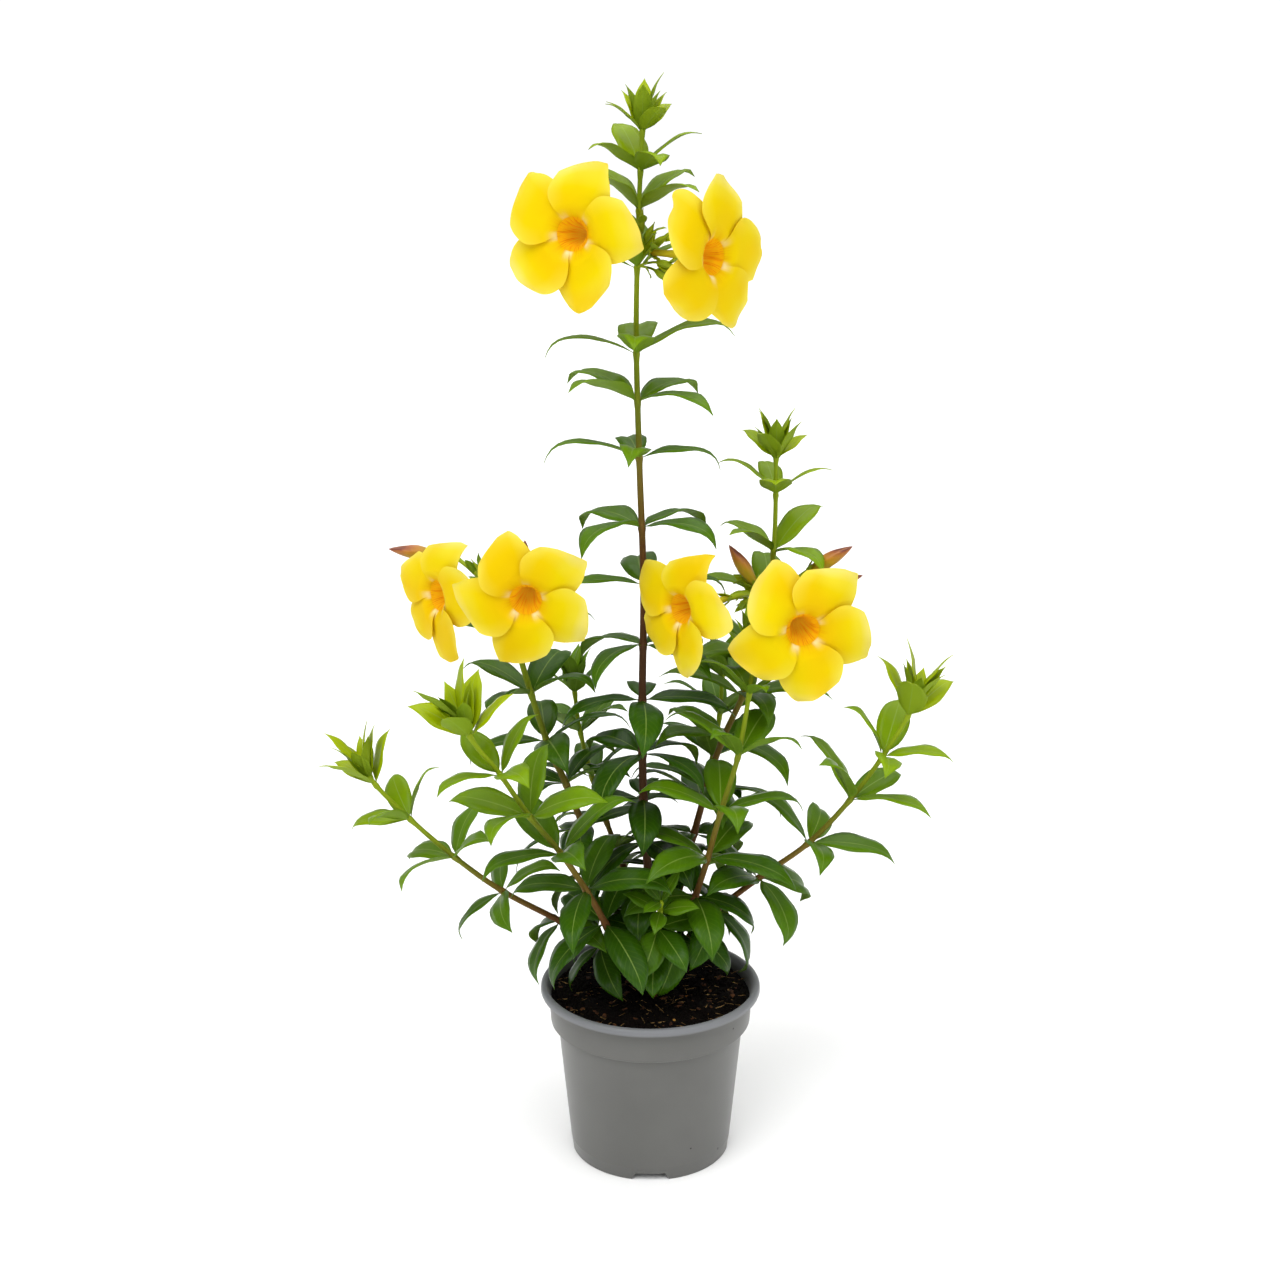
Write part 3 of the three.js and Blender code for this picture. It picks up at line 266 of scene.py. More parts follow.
def petal_points(bloom, k, t, half, steps):
    """Points of a petal, at shares of its rib and distances off it to either side, in the bloom's frame."""
    rib_t, radii, heights = petal_rib(bloom["curl"][k], steps)
    radius, height = np.interp(t, rib_t, radii), np.interp(t, rib_t, heights)
    width = np.maximum(1e-6, petal_half(t, radius))
    wrap = 1 - smooth(t / 0.75)
    slope = PETAL["tilt"] * smooth(t / 0.3) + bloom["twist"][k] * smooth((t - 0.2) / 0.6)
    across = np.clip(half / width, -1, 1)
    x = radius * (1 - (1 - np.cos(half / radius)) * wrap)
    y = half - PETAL["skew"] * t**3 + bloom["lean"][k] * t**2
    z = height + slope * half - PETAL["cup"] * t * half * across
    azimuth = math.radians(bloom["roll"] + 72 * k)
    return np.stack([x * math.cos(azimuth) - y * math.sin(azimuth),
                     x * math.sin(azimuth) + y * math.cos(azimuth), z], axis=-1)


# Room between pieces: a sheet is a grid of points as triangles, and a rod is a line with a radius


def sheet(grid):
    a, b, c, d = grid[:-1, :-1], grid[1:, :-1], grid[1:, 1:], grid[:-1, 1:]
    halves = [np.stack([a, b, c], axis=-2), np.stack([a, c, d], axis=-2)]
    triangles = np.concatenate([half.reshape(-1, 3, 3) for half in halves])
    edges = np.concatenate([triangles[:, [0, 1]], triangles[:, [1, 2]], triangles[:, [2, 0]]])
    return SimpleNamespace(triangles=triangles, edges=edges, low=grid.min((0, 1)), high=grid.max((0, 1)))


def pierces(edges, triangles):
    """True where any edge runs through any triangle."""
    start = edges[:, None, 0]
    run = edges[:, None, 1] - start
    a = triangles[None, :, 0]
    ab, ac = triangles[None, :, 1] - a, triangles[None, :, 2] - a
    p = np.cross(run, ac)
    det = np.sum(ab * p, axis=-1)
    flat = np.abs(det) < 1e-9
    det = np.where(flat, 1, det)
    s = start - a
    u = np.sum(s * p, axis=-1) / det
    q = np.cross(s, ab)
    v = np.sum(run * q, axis=-1) / det
    t = np.sum(ac * q, axis=-1) / det
    return np.any(~flat & (u >= 0) & (u <= 1) & (v >= 0) & (u + v <= 1) & (t >= 0) & (t <= 1))


def sheets_cross(one, other):
    if np.any(one.low > other.high) or np.any(one.high < other.low):
        return False
    return pierces(one.edges, other.triangles) or pierces(other.edges, one.triangles)


def edge_distances(edges, other):
    """The least distance of each edge to one other edge."""
    d1, d2 = edges[:, 1] - edges[:, 0], other[1] - other[0]
    w = edges[:, 0] - other[0]
    a, b, c = np.sum(d1 * d1, axis=1), d1 @ d2, d2 @ d2
    d, e = np.sum(d1 * w, axis=1), w @ d2
    det = a * c - b * b
    first = np.where(det > 1e-9, np.clip((b * e - c * d) / np.where(det > 1e-9, det, 1), 0, 1), 0)
    second = np.clip((b * first + e) / c, 0, 1)
    first = np.clip((b * second - d) / a, 0, 1)
    return np.linalg.norm(w + d1 * first[:, None] - d2 * second[:, None], axis=1)


def sheet_meets_rod(one, rod, margin):
    if np.any(one.low > rod.high) or np.any(one.high < rod.low):
        return False
    near = edge_distances(one.edges, rod.edge) < rod.radius + margin
    return bool(near.any()) or pierces(rod.edge[None], one.triangles)


def rod(edge, radius, owner):
    room = radius + LEAF["margin"]
    return SimpleNamespace(edge=edge, radius=radius, owner=owner, low=edge.min(0) - room, high=edge.max(0) + room)


def rods_along(road, radius_at, steps, owner):
    points = [along(road, road.length * k / steps)[0] for k in range(steps + 1)]
    return [rod(np.array(points[i:i + 2]), radius_at((i + 0.5) / steps), owner) for i in range(steps)]


def in_pot(points):
    reach = np.hypot(points[:, 0], points[:, 1])
    inside = (reach < POT_INSIDE) & (points[:, 2] < SOIL_TOP + 4)
    in_wall = (reach >= POT_INSIDE) & (reach < POT_OUTSIDE) & (points[:, 2] < POT_TOP)
    return bool(np.any(inside | in_wall))


# Growing the plant: the tracks of the stems, their stalks, then the leaves round the blooms

grown = {}
for stem in STEMS:
    parent = grown.get(stem.get("parent"))
    if parent:
        first = [along(parent.road, distance_at_height(parent.road, stem["fork"]))[0]]
    else:
        x, y = stem["foot"]
        first = [(x, y, SOIL_TOP - HOLE_DEPTH), (x, y, SOIL_TOP + 6)]
    tip = 1.6 if stem.get("tuft", True) else 2.2
    grown[stem["name"]] = SimpleNamespace(
        stem=stem, road=track([*first, *stem["path"]]), leaves=[], whorls=[], stalks=[],
        radius_at=lambda share, thick=stem["thick"], tip=tip: thick + (tip - thick) * np.asarray(share) ** 0.8)


def stalk_track(owner, joint, end, out):
    start = along(owner.road, distance_at_height(owner.road, joint))[0]
    before = end - 12 * out
    return track([start, (start + before) / 2 + 3 * UP, before, end])


def stalk_radius(share):
    return STALK["radius"] + (STALK["cup"] - STALK["radius"]) * smooth((np.asarray(share) - 0.6) / 0.4)


def green_bud_track(owner, joint, tip):
    start, heading = along(owner.road, distance_at_height(owner.road, joint))
    end = np.array(tip, float)
    return track([start, start + (end - start) * 0.45 + 3 * heading, end])


def green_bud_radius(share):
    share = np.asarray(share)
    return 0.9 + 1.9 * smooth((share - 0.45) / 0.2) - 2.5 * smooth((share - 0.68) / 0.32)


rods, petal_sheets = [], []
for owner in grown.values():
    rods += rods_along(owner.road, owner.radius_at, math.ceil(owner.road.length / STEM_STEP), owner)
for flower in BLOOMS + BUDS:
    owner = grown[flower["stem"]]
    is_bud = "tip" in flower
    place, out = bud_frame(flower) if is_bud else bloom_frame(flower)
    back = 0 if is_bud else -PETAL["funnel"] - PETAL["tube"]
    end = place([0, 0, back - 0.35])
    flower.update(place=place, out=out, end=end)
    road = stalk_track(owner, flower["joint"], end, out)
    owner.stalks.append((road, stalk_radius))
    rods += rods_along(road, stalk_radius, 6, owner)
    length = math.dist(flower["tip"], flower["base"]) if is_bud else -back
    body = [(0, 1, BUD_RADIUS)] if is_bud else [(0, 0.45, 2 * PETAL["tube_radius"]), (0.45, 1, PETAL["throat"])]
    for start, stop, radius in body:
        edge = place([[0, 0, back + share * length] for share in (start, stop)])
        rods.append(rod(edge, radius, None))
for bloom in BLOOMS:
    t = np.array([4, 10, 16, 20]) / 20
    for k in range(5):
        rib = petal_rib(bloom["curl"][k], 20)
        half = petal_half(t, np.interp(t, rib[0], rib[1]))[:, None] * np.array([-1, 0, 1])
        points = petal_points(bloom, k, np.repeat(t[:, None], 3, axis=1), half, 20)
        petal_sheets.append(sheet(bloom["place"](points)))
for cluster in GREEN_BUDS:
    owner = grown[cluster["stem"]]
    for tip in cluster["tips"]:
        road = green_bud_track(owner, cluster["joint"], tip)
        owner.stalks.append((road, green_bud_radius))
        rods += rods_along(road, green_bud_radius, 4, owner)


def leaf_outline(t):
    """The half width of a solid leaf along its length, over its widest."""
    u = np.maximum(0, (t - 0.05) / 0.95)
    return 0.07 + 0.93 * np.maximum(0, np.sin(math.pi * u**0.9)) ** 0.85 * (1 - 0.35 * u**4)


def leaf_grid(leaf, grow, lift):
    """The edges and the rib of a leaf at its stations, grown outwards and lifted off its face."""
    t = np.arange(LEAF["steps"] + 1) / LEAF["steps"]
    bend = np.radians(leaf.droop * t * (0.6 + 0.4 * t) + leaf.hook * smooth((t - 0.72) / 0.28))[:, None]
    heading = turned_towards(leaf.heading, leaf.face, -bend)
    normal = turned_towards(leaf.face, leaf.heading, bend)
    steps = heading * leaf.length / LEAF["steps"]
    steps[0] = 0
    half = leaf.length * LEAF["slim"] * leaf.width * leaf_outline(t)
    half[-1] = 0
    wide = (half + grow)[:, None]
    middle = leaf.root + np.cumsum(steps, axis=0) + normal * lift
    raised = middle + normal * wide * LEAF["fold"]
    side = np.cross(leaf.heading, leaf.face)
    return np.stack([raised - side * wide, middle, raised + side * wide], axis=1)[LEAF["stations"]]


def habit_at(rank, height):
    """How a leaf stands by the rank of its ring under the tip. Near the pot it is wider and hangs more."""
    age = rank - len(HABIT) + 1
    grown_up = dict(tilt=max(12, 38 - 4 * age), droop=min(58, 46 + 2 * age), hook=32, size=1)
    habit = HABIT[rank] if rank < len(HABIT) else grown_up
    low = smooth((290 - height) / 110)
    return SimpleNamespace(tilt=habit["tilt"] - 30 * low, droop=habit["droop"] + 12 * low, hook=habit["hook"],
                           size=habit["size"] * (1 - 0.18 * low), width=1 + 0.14 * low)


def place_leaf(leaf, turn, lift, size):
    """A leaf with its root, heading and face, turned and lifted from its own stand."""
    first, second = square_to(leaf.whorl.axis)
    azimuth, tilt = math.radians(leaf.azimuth + turn), math.radians(leaf.tilt + lift)
    outward = turned_towards(first, second, azimuth)
    heading = turned_towards(outward, leaf.whorl.axis, tilt)
    face = turned_towards(leaf.whorl.axis, outward, -tilt)
    face = turned_towards(face, np.cross(heading, face), math.radians(leaf.roll))
    return SimpleNamespace(**{**vars(leaf), "length": leaf.length * size}, root=leaf.whorl.point,
                           heading=heading, face=face)


settled, squeezed = [], []


def is_free(leaf, owner, grow, margin):
    grids = [leaf_grid(leaf, grow, lift) for lift in (0, margin, -margin)]
    sheets, outer = [sheet(grid) for grid in grids], [sheet(grid[1:]) for grid in grids]
    if in_pot(sheets[0].triangles.reshape(-1, 3)):
        return False
    if any(sheet_meets_rod(outer[0] if one.owner is owner else sheets[0], one, margin) for one in rods):
        return False
    if any(sheets_cross(one, petal) for petal in petal_sheets for one in sheets):
        return False
    for other in settled:
        same = other.whorl is leaf.whorl
        if any(sheets_cross(one, other.outer if same else other.sheet) for one in (outer if same else sheets)):
            return False
    return True


def settle(leaf, owner, grow, margin):
    """The first stand near its own at which a leaf is clear of everything else, or nothing."""
    for size in (1, 0.86, 0.7):
        for lift in (0, -16, 15):
            for turn in (0, 9, -9, 18, -18, 27, -27):
                tried = place_leaf(leaf, turn, lift, size)
                if is_free(tried, owner, grow, margin):
                    return tried
    return None


def keep(leaf, owner):
    owner.leaves.append(leaf)
    settled.append(SimpleNamespace(whorl=leaf.whorl, sheet=sheet(leaf_grid(leaf, LEAF["grow"], 0)),
                                   outer=sheet(leaf_grid(leaf, LEAF["grow"], 0)[1:])))


for owner in grown.values():
    stem, road = owner.stem, owner.road
    for i, height in enumerate(stem["whorls"]):
        distance = distance_at_height(road, height)
        rank = i if stem.get("tuft", True) else i + 4
        point, heading = along(road, distance)
        half = (rank + (1 if height < stem.get("offbeat", -1) else 0)) % 2
        whorl = SimpleNamespace(point=point, axis=unit(heading + (UP - heading) * 0.35))
        owner.whorls.append(distance)
        habit = habit_at(rank, point[2])
        for k in range(4):
            turn, tilt, droop, hook, long, wide, roll = [spread() for _ in range(7)]
            young = stem.get("young", 1) if rank < 2 else 1
            leaf = SimpleNamespace(
                whorl=whorl, azimuth=stem["phase"] + 90 * k + 45 * half + 8 * turn, tilt=habit.tilt + 7 * tilt,
                droop=habit.droop * (1 + 0.2 * droop), hook=habit.hook * (1 + 0.5 * hook),
                length=stem["length"] * habit.size * young * (1 + 0.09 * long),
                width=habit.width * (1 + 0.1 * wide), roll=12 * roll, rank=rank, vary=turn)
            free = settle(leaf, owner, LEAF["grow"], LEAF["margin"])
            if free:
                keep(free, owner)
            elif rank > 1:
                squeezed.append((leaf, owner))

# The leaves that found no room get a second try: thin blades pass closer to each other than the solid ones
for leaf, owner in squeezed:
    for azimuth in (leaf.azimuth, leaf.azimuth + 45):
        leaf.azimuth = azimuth
        free = settle(leaf, owner, 0, 0.7)
        if free:
            keep(free, owner)
            break


# Node trees and colours: a kind of node is its type, or its type with a setting that is always the same


def kinds(node_type, setting, *values):
    """A kind of node for each value of one setting."""
    return [(node_type, {setting: value}) for value in values]


TIMES, PLUS, MINUS, OVER, TIMES_PLUS, SINE, COSINE, SIZE_OF, ABOVE, BELOW = kinds(
    "ShaderNodeMath", "operation", "MULTIPLY", "ADD", "SUBTRACT", "DIVIDE", "MULTIPLY_ADD", "SINE", "COSINE",
    "ABSOLUTE", "GREATER_THAN", "LESS_THAN")
SCALED, SUM, DIFFERENCE, CROSS = kinds("ShaderNodeVectorMath", "operation", "SCALE", "ADD", "SUBTRACT", "CROSS_PRODUCT")
NUMBER, ARROW = kinds("GeometryNodeInputNamedAttribute", "data_type", "FLOAT", "FLOAT_VECTOR")
RANDOM_NUMBER, RANDOM_ARROW = kinds("FunctionNodeRandomValue", "data_type", "FLOAT", "FLOAT_VECTOR")
[MIX] = kinds("ShaderNodeMix", "data_type", "RGBA")
RANGE, RAMP, BUMP, PLACE = "ShaderNodeMapRange", "ShaderNodeValToRGB", "ShaderNodeBump", "ShaderNodeTexCoord"
NOISE = "ShaderNodeTexNoise"  # its values: where, scale in patterns a metre, detail and roughness
MESH = "NodeSocketGeometry"


def linear(code):
    """A hex sRGB colour as linear values with full alpha."""
    parts = [int(code[i:i + 2], 16) / 255 for i in (1, 3, 5)]
    return [c / 12.92 if c <= 0.04045 else ((c + 0.055) / 1.055) ** 2.4 for c in parts] + [1]


def fill(tree, node, inputs):
    """Sets each named input to a value or a hex colour, or links it to a socket or to a node's first output."""
    for name, value in inputs.items():
        if isinstance(value, bpy.types.Node):
            value = next(s for s in value.outputs if s.enabled)
        if isinstance(value, bpy.types.NodeSocket):
            tree.links.new(value, node.inputs[name])
        else:
            is_colour = isinstance(value, str) and value.startswith("#")
            node.inputs[name].default_value = linear(value) if is_colour else value


def add(tree, kind, *values, inputs=None, **settings):
    """Adds a node with its settings. The plain values go to the inputs that it shows, from the top."""
    node_type, fixed = (kind, {}) if isinstance(kind, str) else kind
    node = tree.nodes.new(node_type)
    for name, value in {**fixed, **settings}.items():
        setattr(node, name, value)
    shown = [i for i, socket in enumerate(node.inputs) if socket.enabled]
    fill(tree, node, {**dict(zip(shown, values)), **(inputs or {})})
    return node


def set_ramp(node, *stops):
    """Gives a colour ramp its stops of place and hex colour."""
    elements = node.color_ramp.elements
    while len(elements) < len(stops):
        elements.new(1)
    for element, (place, code) in zip(elements, stops):
        element.position, element.color = place, linear(code)


def new_tree(name, **sockets):
    """A geometry tree that takes a mesh and named sizes, with its group input."""
    tree = bpy.data.node_groups.new(name, "GeometryNodeTree")
    tree.interface.new_socket("Mesh", in_out="INPUT", socket_type=MESH)
    for label, kind in sockets.items():
        tree.interface.new_socket(label, in_out="INPUT", socket_type=f"NodeSocket{kind}")
    tree.interface.new_socket("Mesh", in_out="OUTPUT", socket_type=MESH)
    return tree, tree.nodes.new("NodeGroupInput").outputs


def in_scene(name, mesh):
    """A new object in the scene."""
    piece = bpy.data.objects.new(name, mesh)
    bpy.context.scene.collection.objects.link(piece)
    return piece


def made_plain(piece):
    """The mesh that an object's modifiers make of it. The modifiers go."""
    depsgraph = bpy.context.evaluated_depsgraph_get()
    made = bpy.data.meshes.new_from_object(piece.evaluated_get(depsgraph), depsgraph=depsgraph)
    piece.modifiers.clear()
    return made


def grow(name, tree, mesh, **sizes):
    """Runs a geometry tree on a mesh and returns the result as a plain mesh object."""
    source = in_scene(name + "_source", mesh)
    modifier = source.modifiers.new("tree", "NODES")
    modifier.node_group = tree
    for item in tree.interface.items_tree:
        if item.in_out == "INPUT" and item.name in sizes:
            modifier[item.identifier] = sizes[item.name]
    made = made_plain(source)
    bpy.data.objects.remove(source)
    made.name = name
    return in_scene(name, made)


def show(piece, material_slot, *nodes):
    """Puts a finished piece on the plant's body in place of its solids."""
    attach(piece, "root")
    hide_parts(*nodes)


def mesh_from(name, points, faces=(), edges=(), material=None, smooth_shading=True, **attributes):
    """A mesh in metres from points in millimetres, with an attribute a point for each name."""
    mesh = bpy.data.meshes.new(name)
    points = np.asarray(points, float).reshape(-1, 3) * MM
    mesh.from_pydata(points.tolist(), [list(map(int, e)) for e in edges], [list(map(int, f)) for f in faces])
    for key, values in attributes.items():
        values = np.asarray(values, float)
        kind, field = ("FLOAT_VECTOR", "vector") if values.ndim == 2 else ("FLOAT", "value")
        data = mesh.attributes.new(key, kind, "POINT").data
        data.foreach_set(field, values.astype(np.float32).ravel())
    if material:
        mesh.materials.append(material)
    if smooth_shading and len(mesh.polygons):
        mesh.shade_smooth()
    return mesh


def new_material(name, attributes=(), **settings):
    """A material, its tree, its shader, and what the mesh's attributes hold at each point."""
    material = bpy.data.materials.new(name)
    material.use_nodes = True
    tree = material.node_tree
    shader = tree.nodes["Principled BSDF"]
    fill(tree, shader, {label.replace("_", " "): value for label, value in settings.items()})
    held = (add(tree, "ShaderNodeAttribute", attribute_name=attribute).outputs["Fac"] for attribute in attributes)
    return material, tree, shader, *held


# Materials


def lit_through(tree, shader, colour, glow, share):
    """Lets a share of the light through a thin blade, tinted by the blade's colour and its sap."""
    through = add(tree, "ShaderNodeBsdfTranslucent", add(tree, MIX, 0.5, colour, glow))
    fill(tree, tree.nodes["Material Output"], {"Surface": add(tree, "ShaderNodeMixShader", share, shader, through)})


def leaf_material():
    """Waxy living leaf: young blades are yellow-green, old ones deep green, with a fine pale midrib, faint side
    veins and a matt paler underside. The wax gives broad soft highlights."""
    material, tree, shader, age, across, along_it, layer, vary = new_material(
        "waxy_leaf", ("tone", "across", "along", "layer", "vary"), IOR=1.28, Specular_IOR_Level=0.4)
    where = add(tree, PLACE).outputs["Object"]
    blotched = add(tree, TIMES_PLUS, add(tree, NOISE, where, 60, 2), 0.16, age)
    blade = add(tree, RAMP, add(tree, MINUS, add(tree, TIMES_PLUS, vary, 0.06, blotched), 0.08))
    set_ramp(blade, (0, "#A2B400"), (0.28, "#80A008"), (0.52, "#587E0A"), (0.76, "#305606"), (1, "#142F03"))
    # side veins: a wave along the blade, slanted back from the midrib
    distance = add(tree, SIZE_OF, across)
    slant = add(tree, TIMES_PLUS, distance, -0.2, along_it)
    vein = add(tree, RANGE, add(tree, SINE, add(tree, TIMES, slant, 88.0)), 0.75, 1.0, 0.0, 1.0)
    veined = add(tree, MIX, add(tree, TIMES, vein, 0.12), blade, "#789A2A")
    rib = add(tree, RANGE, distance, 0.02, 0.05, 1.0, 0.0)
    fade = add(tree, RANGE, along_it, 0.05, 0.95, 0.65, 0.3)
    ribbed = add(tree, MIX, add(tree, TIMES, rib, fade), veined, "#A2BC5A")
    sided = add(tree, MIX, add(tree, RANGE, layer, -0.2, 0.2, 0.5, 0.0), ribbed, "#7A982C")
    relief = add(tree, TIMES_PLUS, rib, -1.0, add(tree, TIMES, vein, -0.2))
    fill(tree, shader, {"Base Color": sided, "Roughness": add(tree, RANGE, layer, -0.2, 0.2, 0.6, 0.3),
                        "Normal": add(tree, BUMP, 0.3, 0.0003, inputs={"Height": relief})})
    lit_through(tree, shader, sided, "#B4D81C", 0.16)
    return material


def stem_material():
    """Green shoot that turns to thin red-brown bark: matt, with fine lengthwise cracks where it is woody."""
    material, tree, shader, age = new_material("shoot_and_bark", ["tone"], Roughness=0.6, Specular_IOR_Level=0.2)
    where = add(tree, PLACE).outputs["Object"]
    stretched = add(tree, "ShaderNodeMapping", inputs={"Vector": where, "Scale": (900, 900, 160)})
    grain = add(tree, NOISE, stretched, 1, 4)
    bark = add(tree, RAMP, add(tree, MINUS, add(tree, TIMES_PLUS, grain, 0.25, age), 0.125))
    set_ramp(bark, (0, "#8CA016"), (0.28, "#767F18"), (0.5, "#72601E"), (0.75, "#633E18"), (1, "#4A2C10"))
    cracks = add(tree, BUMP, 0.5, 0.0006, inputs={"Height": add(tree, TIMES, grain, age)})
    fill(tree, shader, {"Base Color": bark, "Normal": cracks})
    return material


def petal_material():
    """Satin petal: clear yellow, paler in soft clouds, with a painted highlight that pales it towards the edge, with
    orange guides on the golden throat and pale spots where two petals meet, partly a painted glint that is
    brighter at the lower junctions. A faint glow in the throat stands for the daylight that its thin wall scatters."""
    material, tree, shader, along_it, around, seam, across, inner = new_material(
        "satin_petal", ("along", "around", "seam", "across", "inner"), Roughness=0.55, Specular_IOR_Level=0.05)
    where = add(tree, PLACE).outputs["Object"]
    clouds = add(tree, NOISE, where, 22, 1)
    place = add(tree, TIMES_PLUS, clouds, 0.5, along_it)
    body = add(tree, RAMP, add(tree, RANGE, place, -0.75, 1.25, 0.0, 1.0))
    set_ramp(body, (0, "#E0D060"), (0.12, "#FFCC50"), (0.3, "#FFCC3C"), (0.42, "#FFCC24"), (0.5, "#FBCC12"),
             (0.57, "#F0CB04"), (0.66, "#ECD100"), (0.8, "#EDD800"), (0.92, "#F0E034"), (1, "#F2E670"))
    warmed = add(tree, MIX, add(tree, RANGE, clouds, 0.6, 0.34, 0.0, 0.55), body, "#ECC000")
    # painted highlight: each petal turns paler towards its side edges, more so further out from the throat
    edge = add(tree, RANGE, add(tree, SIZE_OF, across), 0.5, 1.0, 0.0, 0.65)
    pale = add(tree, TIMES, edge, add(tree, RANGE, along_it, 0.3, 0.8, 0.0, 1.0))
    edge_highlighted = add(tree, MIX, pale, warmed, "#F4E860")
    # patterns that run along the throat: nine times as dense round it as along it
    lines = add(tree, "ShaderNodeCombineXYZ", add(tree, TIMES, around, 9.0), add(tree, TIMES, along_it, 1.2), 0.0)
    streak = add(tree, RANGE, add(tree, NOISE, lines, 1.6, 3, 0.6), 0.49, 0.58, 0.0, 1.0)
    deep = add(tree, RANGE, along_it, 0.28, -0.1, 0.0, 0.9)
    guided = add(tree, MIX, add(tree, TIMES, streak, deep), edge_highlighted, "#DC7808")
    # pale spots where two petals meet: partly their own pale colour, partly a painted glint
    shine = add(tree, MIX, seam, guided, "#FFF6C0")
    outside = add(tree, RAMP, add(tree, RANGE, along_it, -1.0, 1.0, 0.0, 1.0))
    set_ramp(outside, (0, "#B4B830"), (0.3, "#D6CE28"), (0.52, "#F0D018"), (0.8, "#F4DC10"), (1, "#F2E244"))
    sided = add(tree, MIX, inner, outside, shine)
    scattered = add(tree, TIMES, add(tree, RANGE, along_it, 0.14, -0.3, 0.0, 0.4), inner)
    veins = add(tree, BUMP, 0.12, 0.0005, inputs={"Height": add(tree, NOISE, lines, 3.5, 2)})
    fill(tree, shader, {"Base Color": sided, "Emission Color": shine, "Emission Strength": scattered, "Normal": veins})
    thin = add(tree, TIMES_PLUS, inner, add(tree, RANGE, along_it, 0.3, -0.2, 0.0, 0.45), 0.24)
    lit_through(tree, shader, sided, "#FFE600", thin)
    return material


def bud_material():
    """Closed petals: olive at the foot, then red-brown to orange, with a soft painted highlight on each rolled edge."""
    material, tree, shader, along_it, fold = new_material("rolled_bud", ("along", "fold"), Roughness=0.42)
    where = add(tree, PLACE).outputs["Object"]
    skin = add(tree, RAMP, add(tree, TIMES_PLUS, add(tree, NOISE, where, 220, 3), 0.2, along_it))
    set_ramp(skin, (0.15, "#A39A1A"), (0.52, "#B4941C"), (0.72, "#B27828"), (0.9, "#96502A"), (1, "#6A2E20"))
    # painted highlight along each rolled edge, by the fold attribute
    fill(tree, shader, {"Base Color": add(tree, MIX, add(tree, TIMES, fold, 0.35), skin, "#D9902A")})
    return material


def pot_material():
    """Moulded polypropylene: neutral grey, a fine matt skin with a faint orange-peel, a painted highlight that makes
    the lip lighter, and a few specks of soil."""
    material, tree, shader = new_material("moulded_polypropylene", IOR=1.4, Sheen_Weight=0.2, Sheen_Roughness=0.4)
    where = add(tree, PLACE).outputs["Object"]
    tint = add(tree, NOISE, where, 18, 3)
    grey = add(tree, MIX, add(tree, RANGE, tint, 0.35, 0.65, 0.0, 1.0), "#5A5A57", "#60605D")
    height = add(tree, "ShaderNodeSeparateXYZ", where).outputs["Z"]
    # painted highlight: the lip, above 131.5 mm, is made lighter and bluer
    lip_highlight = add(tree, MIX, add(tree, RANGE, height, 0.1315, 0.134, 0.0, 0.8), grey, "#77797D")
    cells = add(tree, "ShaderNodeTexVoronoi", inputs={"Vector": where, "Scale": 95, "Randomness": 1})
    chosen = add(tree, "ShaderNodeSeparateColor", cells.outputs["Color"])
    size = add(tree, TIMES_PLUS, chosen.outputs[1], 0.09, 0.03)
    near = add(tree, BELOW, cells.outputs["Distance"], size)
    speck = add(tree, TIMES, add(tree, ABOVE, chosen.outputs[0], 0.955), near)
    peel = add(tree, BUMP, 0.15, 0.0002, inputs={"Height": add(tree, NOISE, where, 900, 2)})
    fill(tree, shader, {"Base Color": add(tree, MIX, speck, lip_highlight, "#1F1813"), "Normal": peel,
                        "Roughness": add(tree, RANGE, tint, 0.3, 0.7, 0.42, 0.54)})
    return material


def crumb_material(name, first, second, roughness, gleam, noise, contrast, relief=None):
    """Peat, bark, root fibre or grit: matt, in two tones that blotch it by the millimetre or so, and with a rough
    skin where it has relief."""
    material, tree, shader = new_material(name, Roughness=roughness, Specular_IOR_Level=gleam)
    where = add(tree, PLACE).outputs["Object"]
    blotches = add(tree, NOISE, where, *noise)
    fill(tree, shader, {"Base Color": add(tree, MIX, add(tree, RANGE, blotches, *contrast, 0.0, 1.0), first, second)})
    if relief:
        fill(tree, shader, {"Normal": add(tree, BUMP, 1, relief, inputs={"Height": blotches})})
    return material


LEAF_WAX = leaf_material()
SHOOT = stem_material()
SATIN = petal_material()
ROLLED = bud_material()
PLASTIC = pot_material()
# Damp peat is almost black brown, with fine crumb and a little damp gleam
PEAT = crumb_material("damp_peat", "#040201", "#150D08", 0.9, 0.1, (420, 6, 0.7), (0.4, 0.7), relief=0.0016)


# Leaves: a flat closed blade stands on every point, and is bent and shaped by what the point carries

# The half width of a fine leaf along its length, over its widest: a short stalk, a broad middle and a drawn-out
# tip
OUTLINE = [(0, 0.06), (0.05, 0.07), (0.1, 0.27), (0.18, 0.58), (0.3, 0.86), (0.5, 1), (0.66, 0.88), (0.8, 0.58),
           (0.9, 0.27), (0.96, 0.09), (1, 0.01)]


def finish_tree(tree, mesh, material):
    """Ends a tree: smooth faces, their material, and out."""
    soft = add(tree, "GeometryNodeSetShadeSmooth", mesh)
    add(tree, "NodeGroupOutput", add(tree, "GeometryNodeSetMaterial", soft, inputs={"Material": material}))


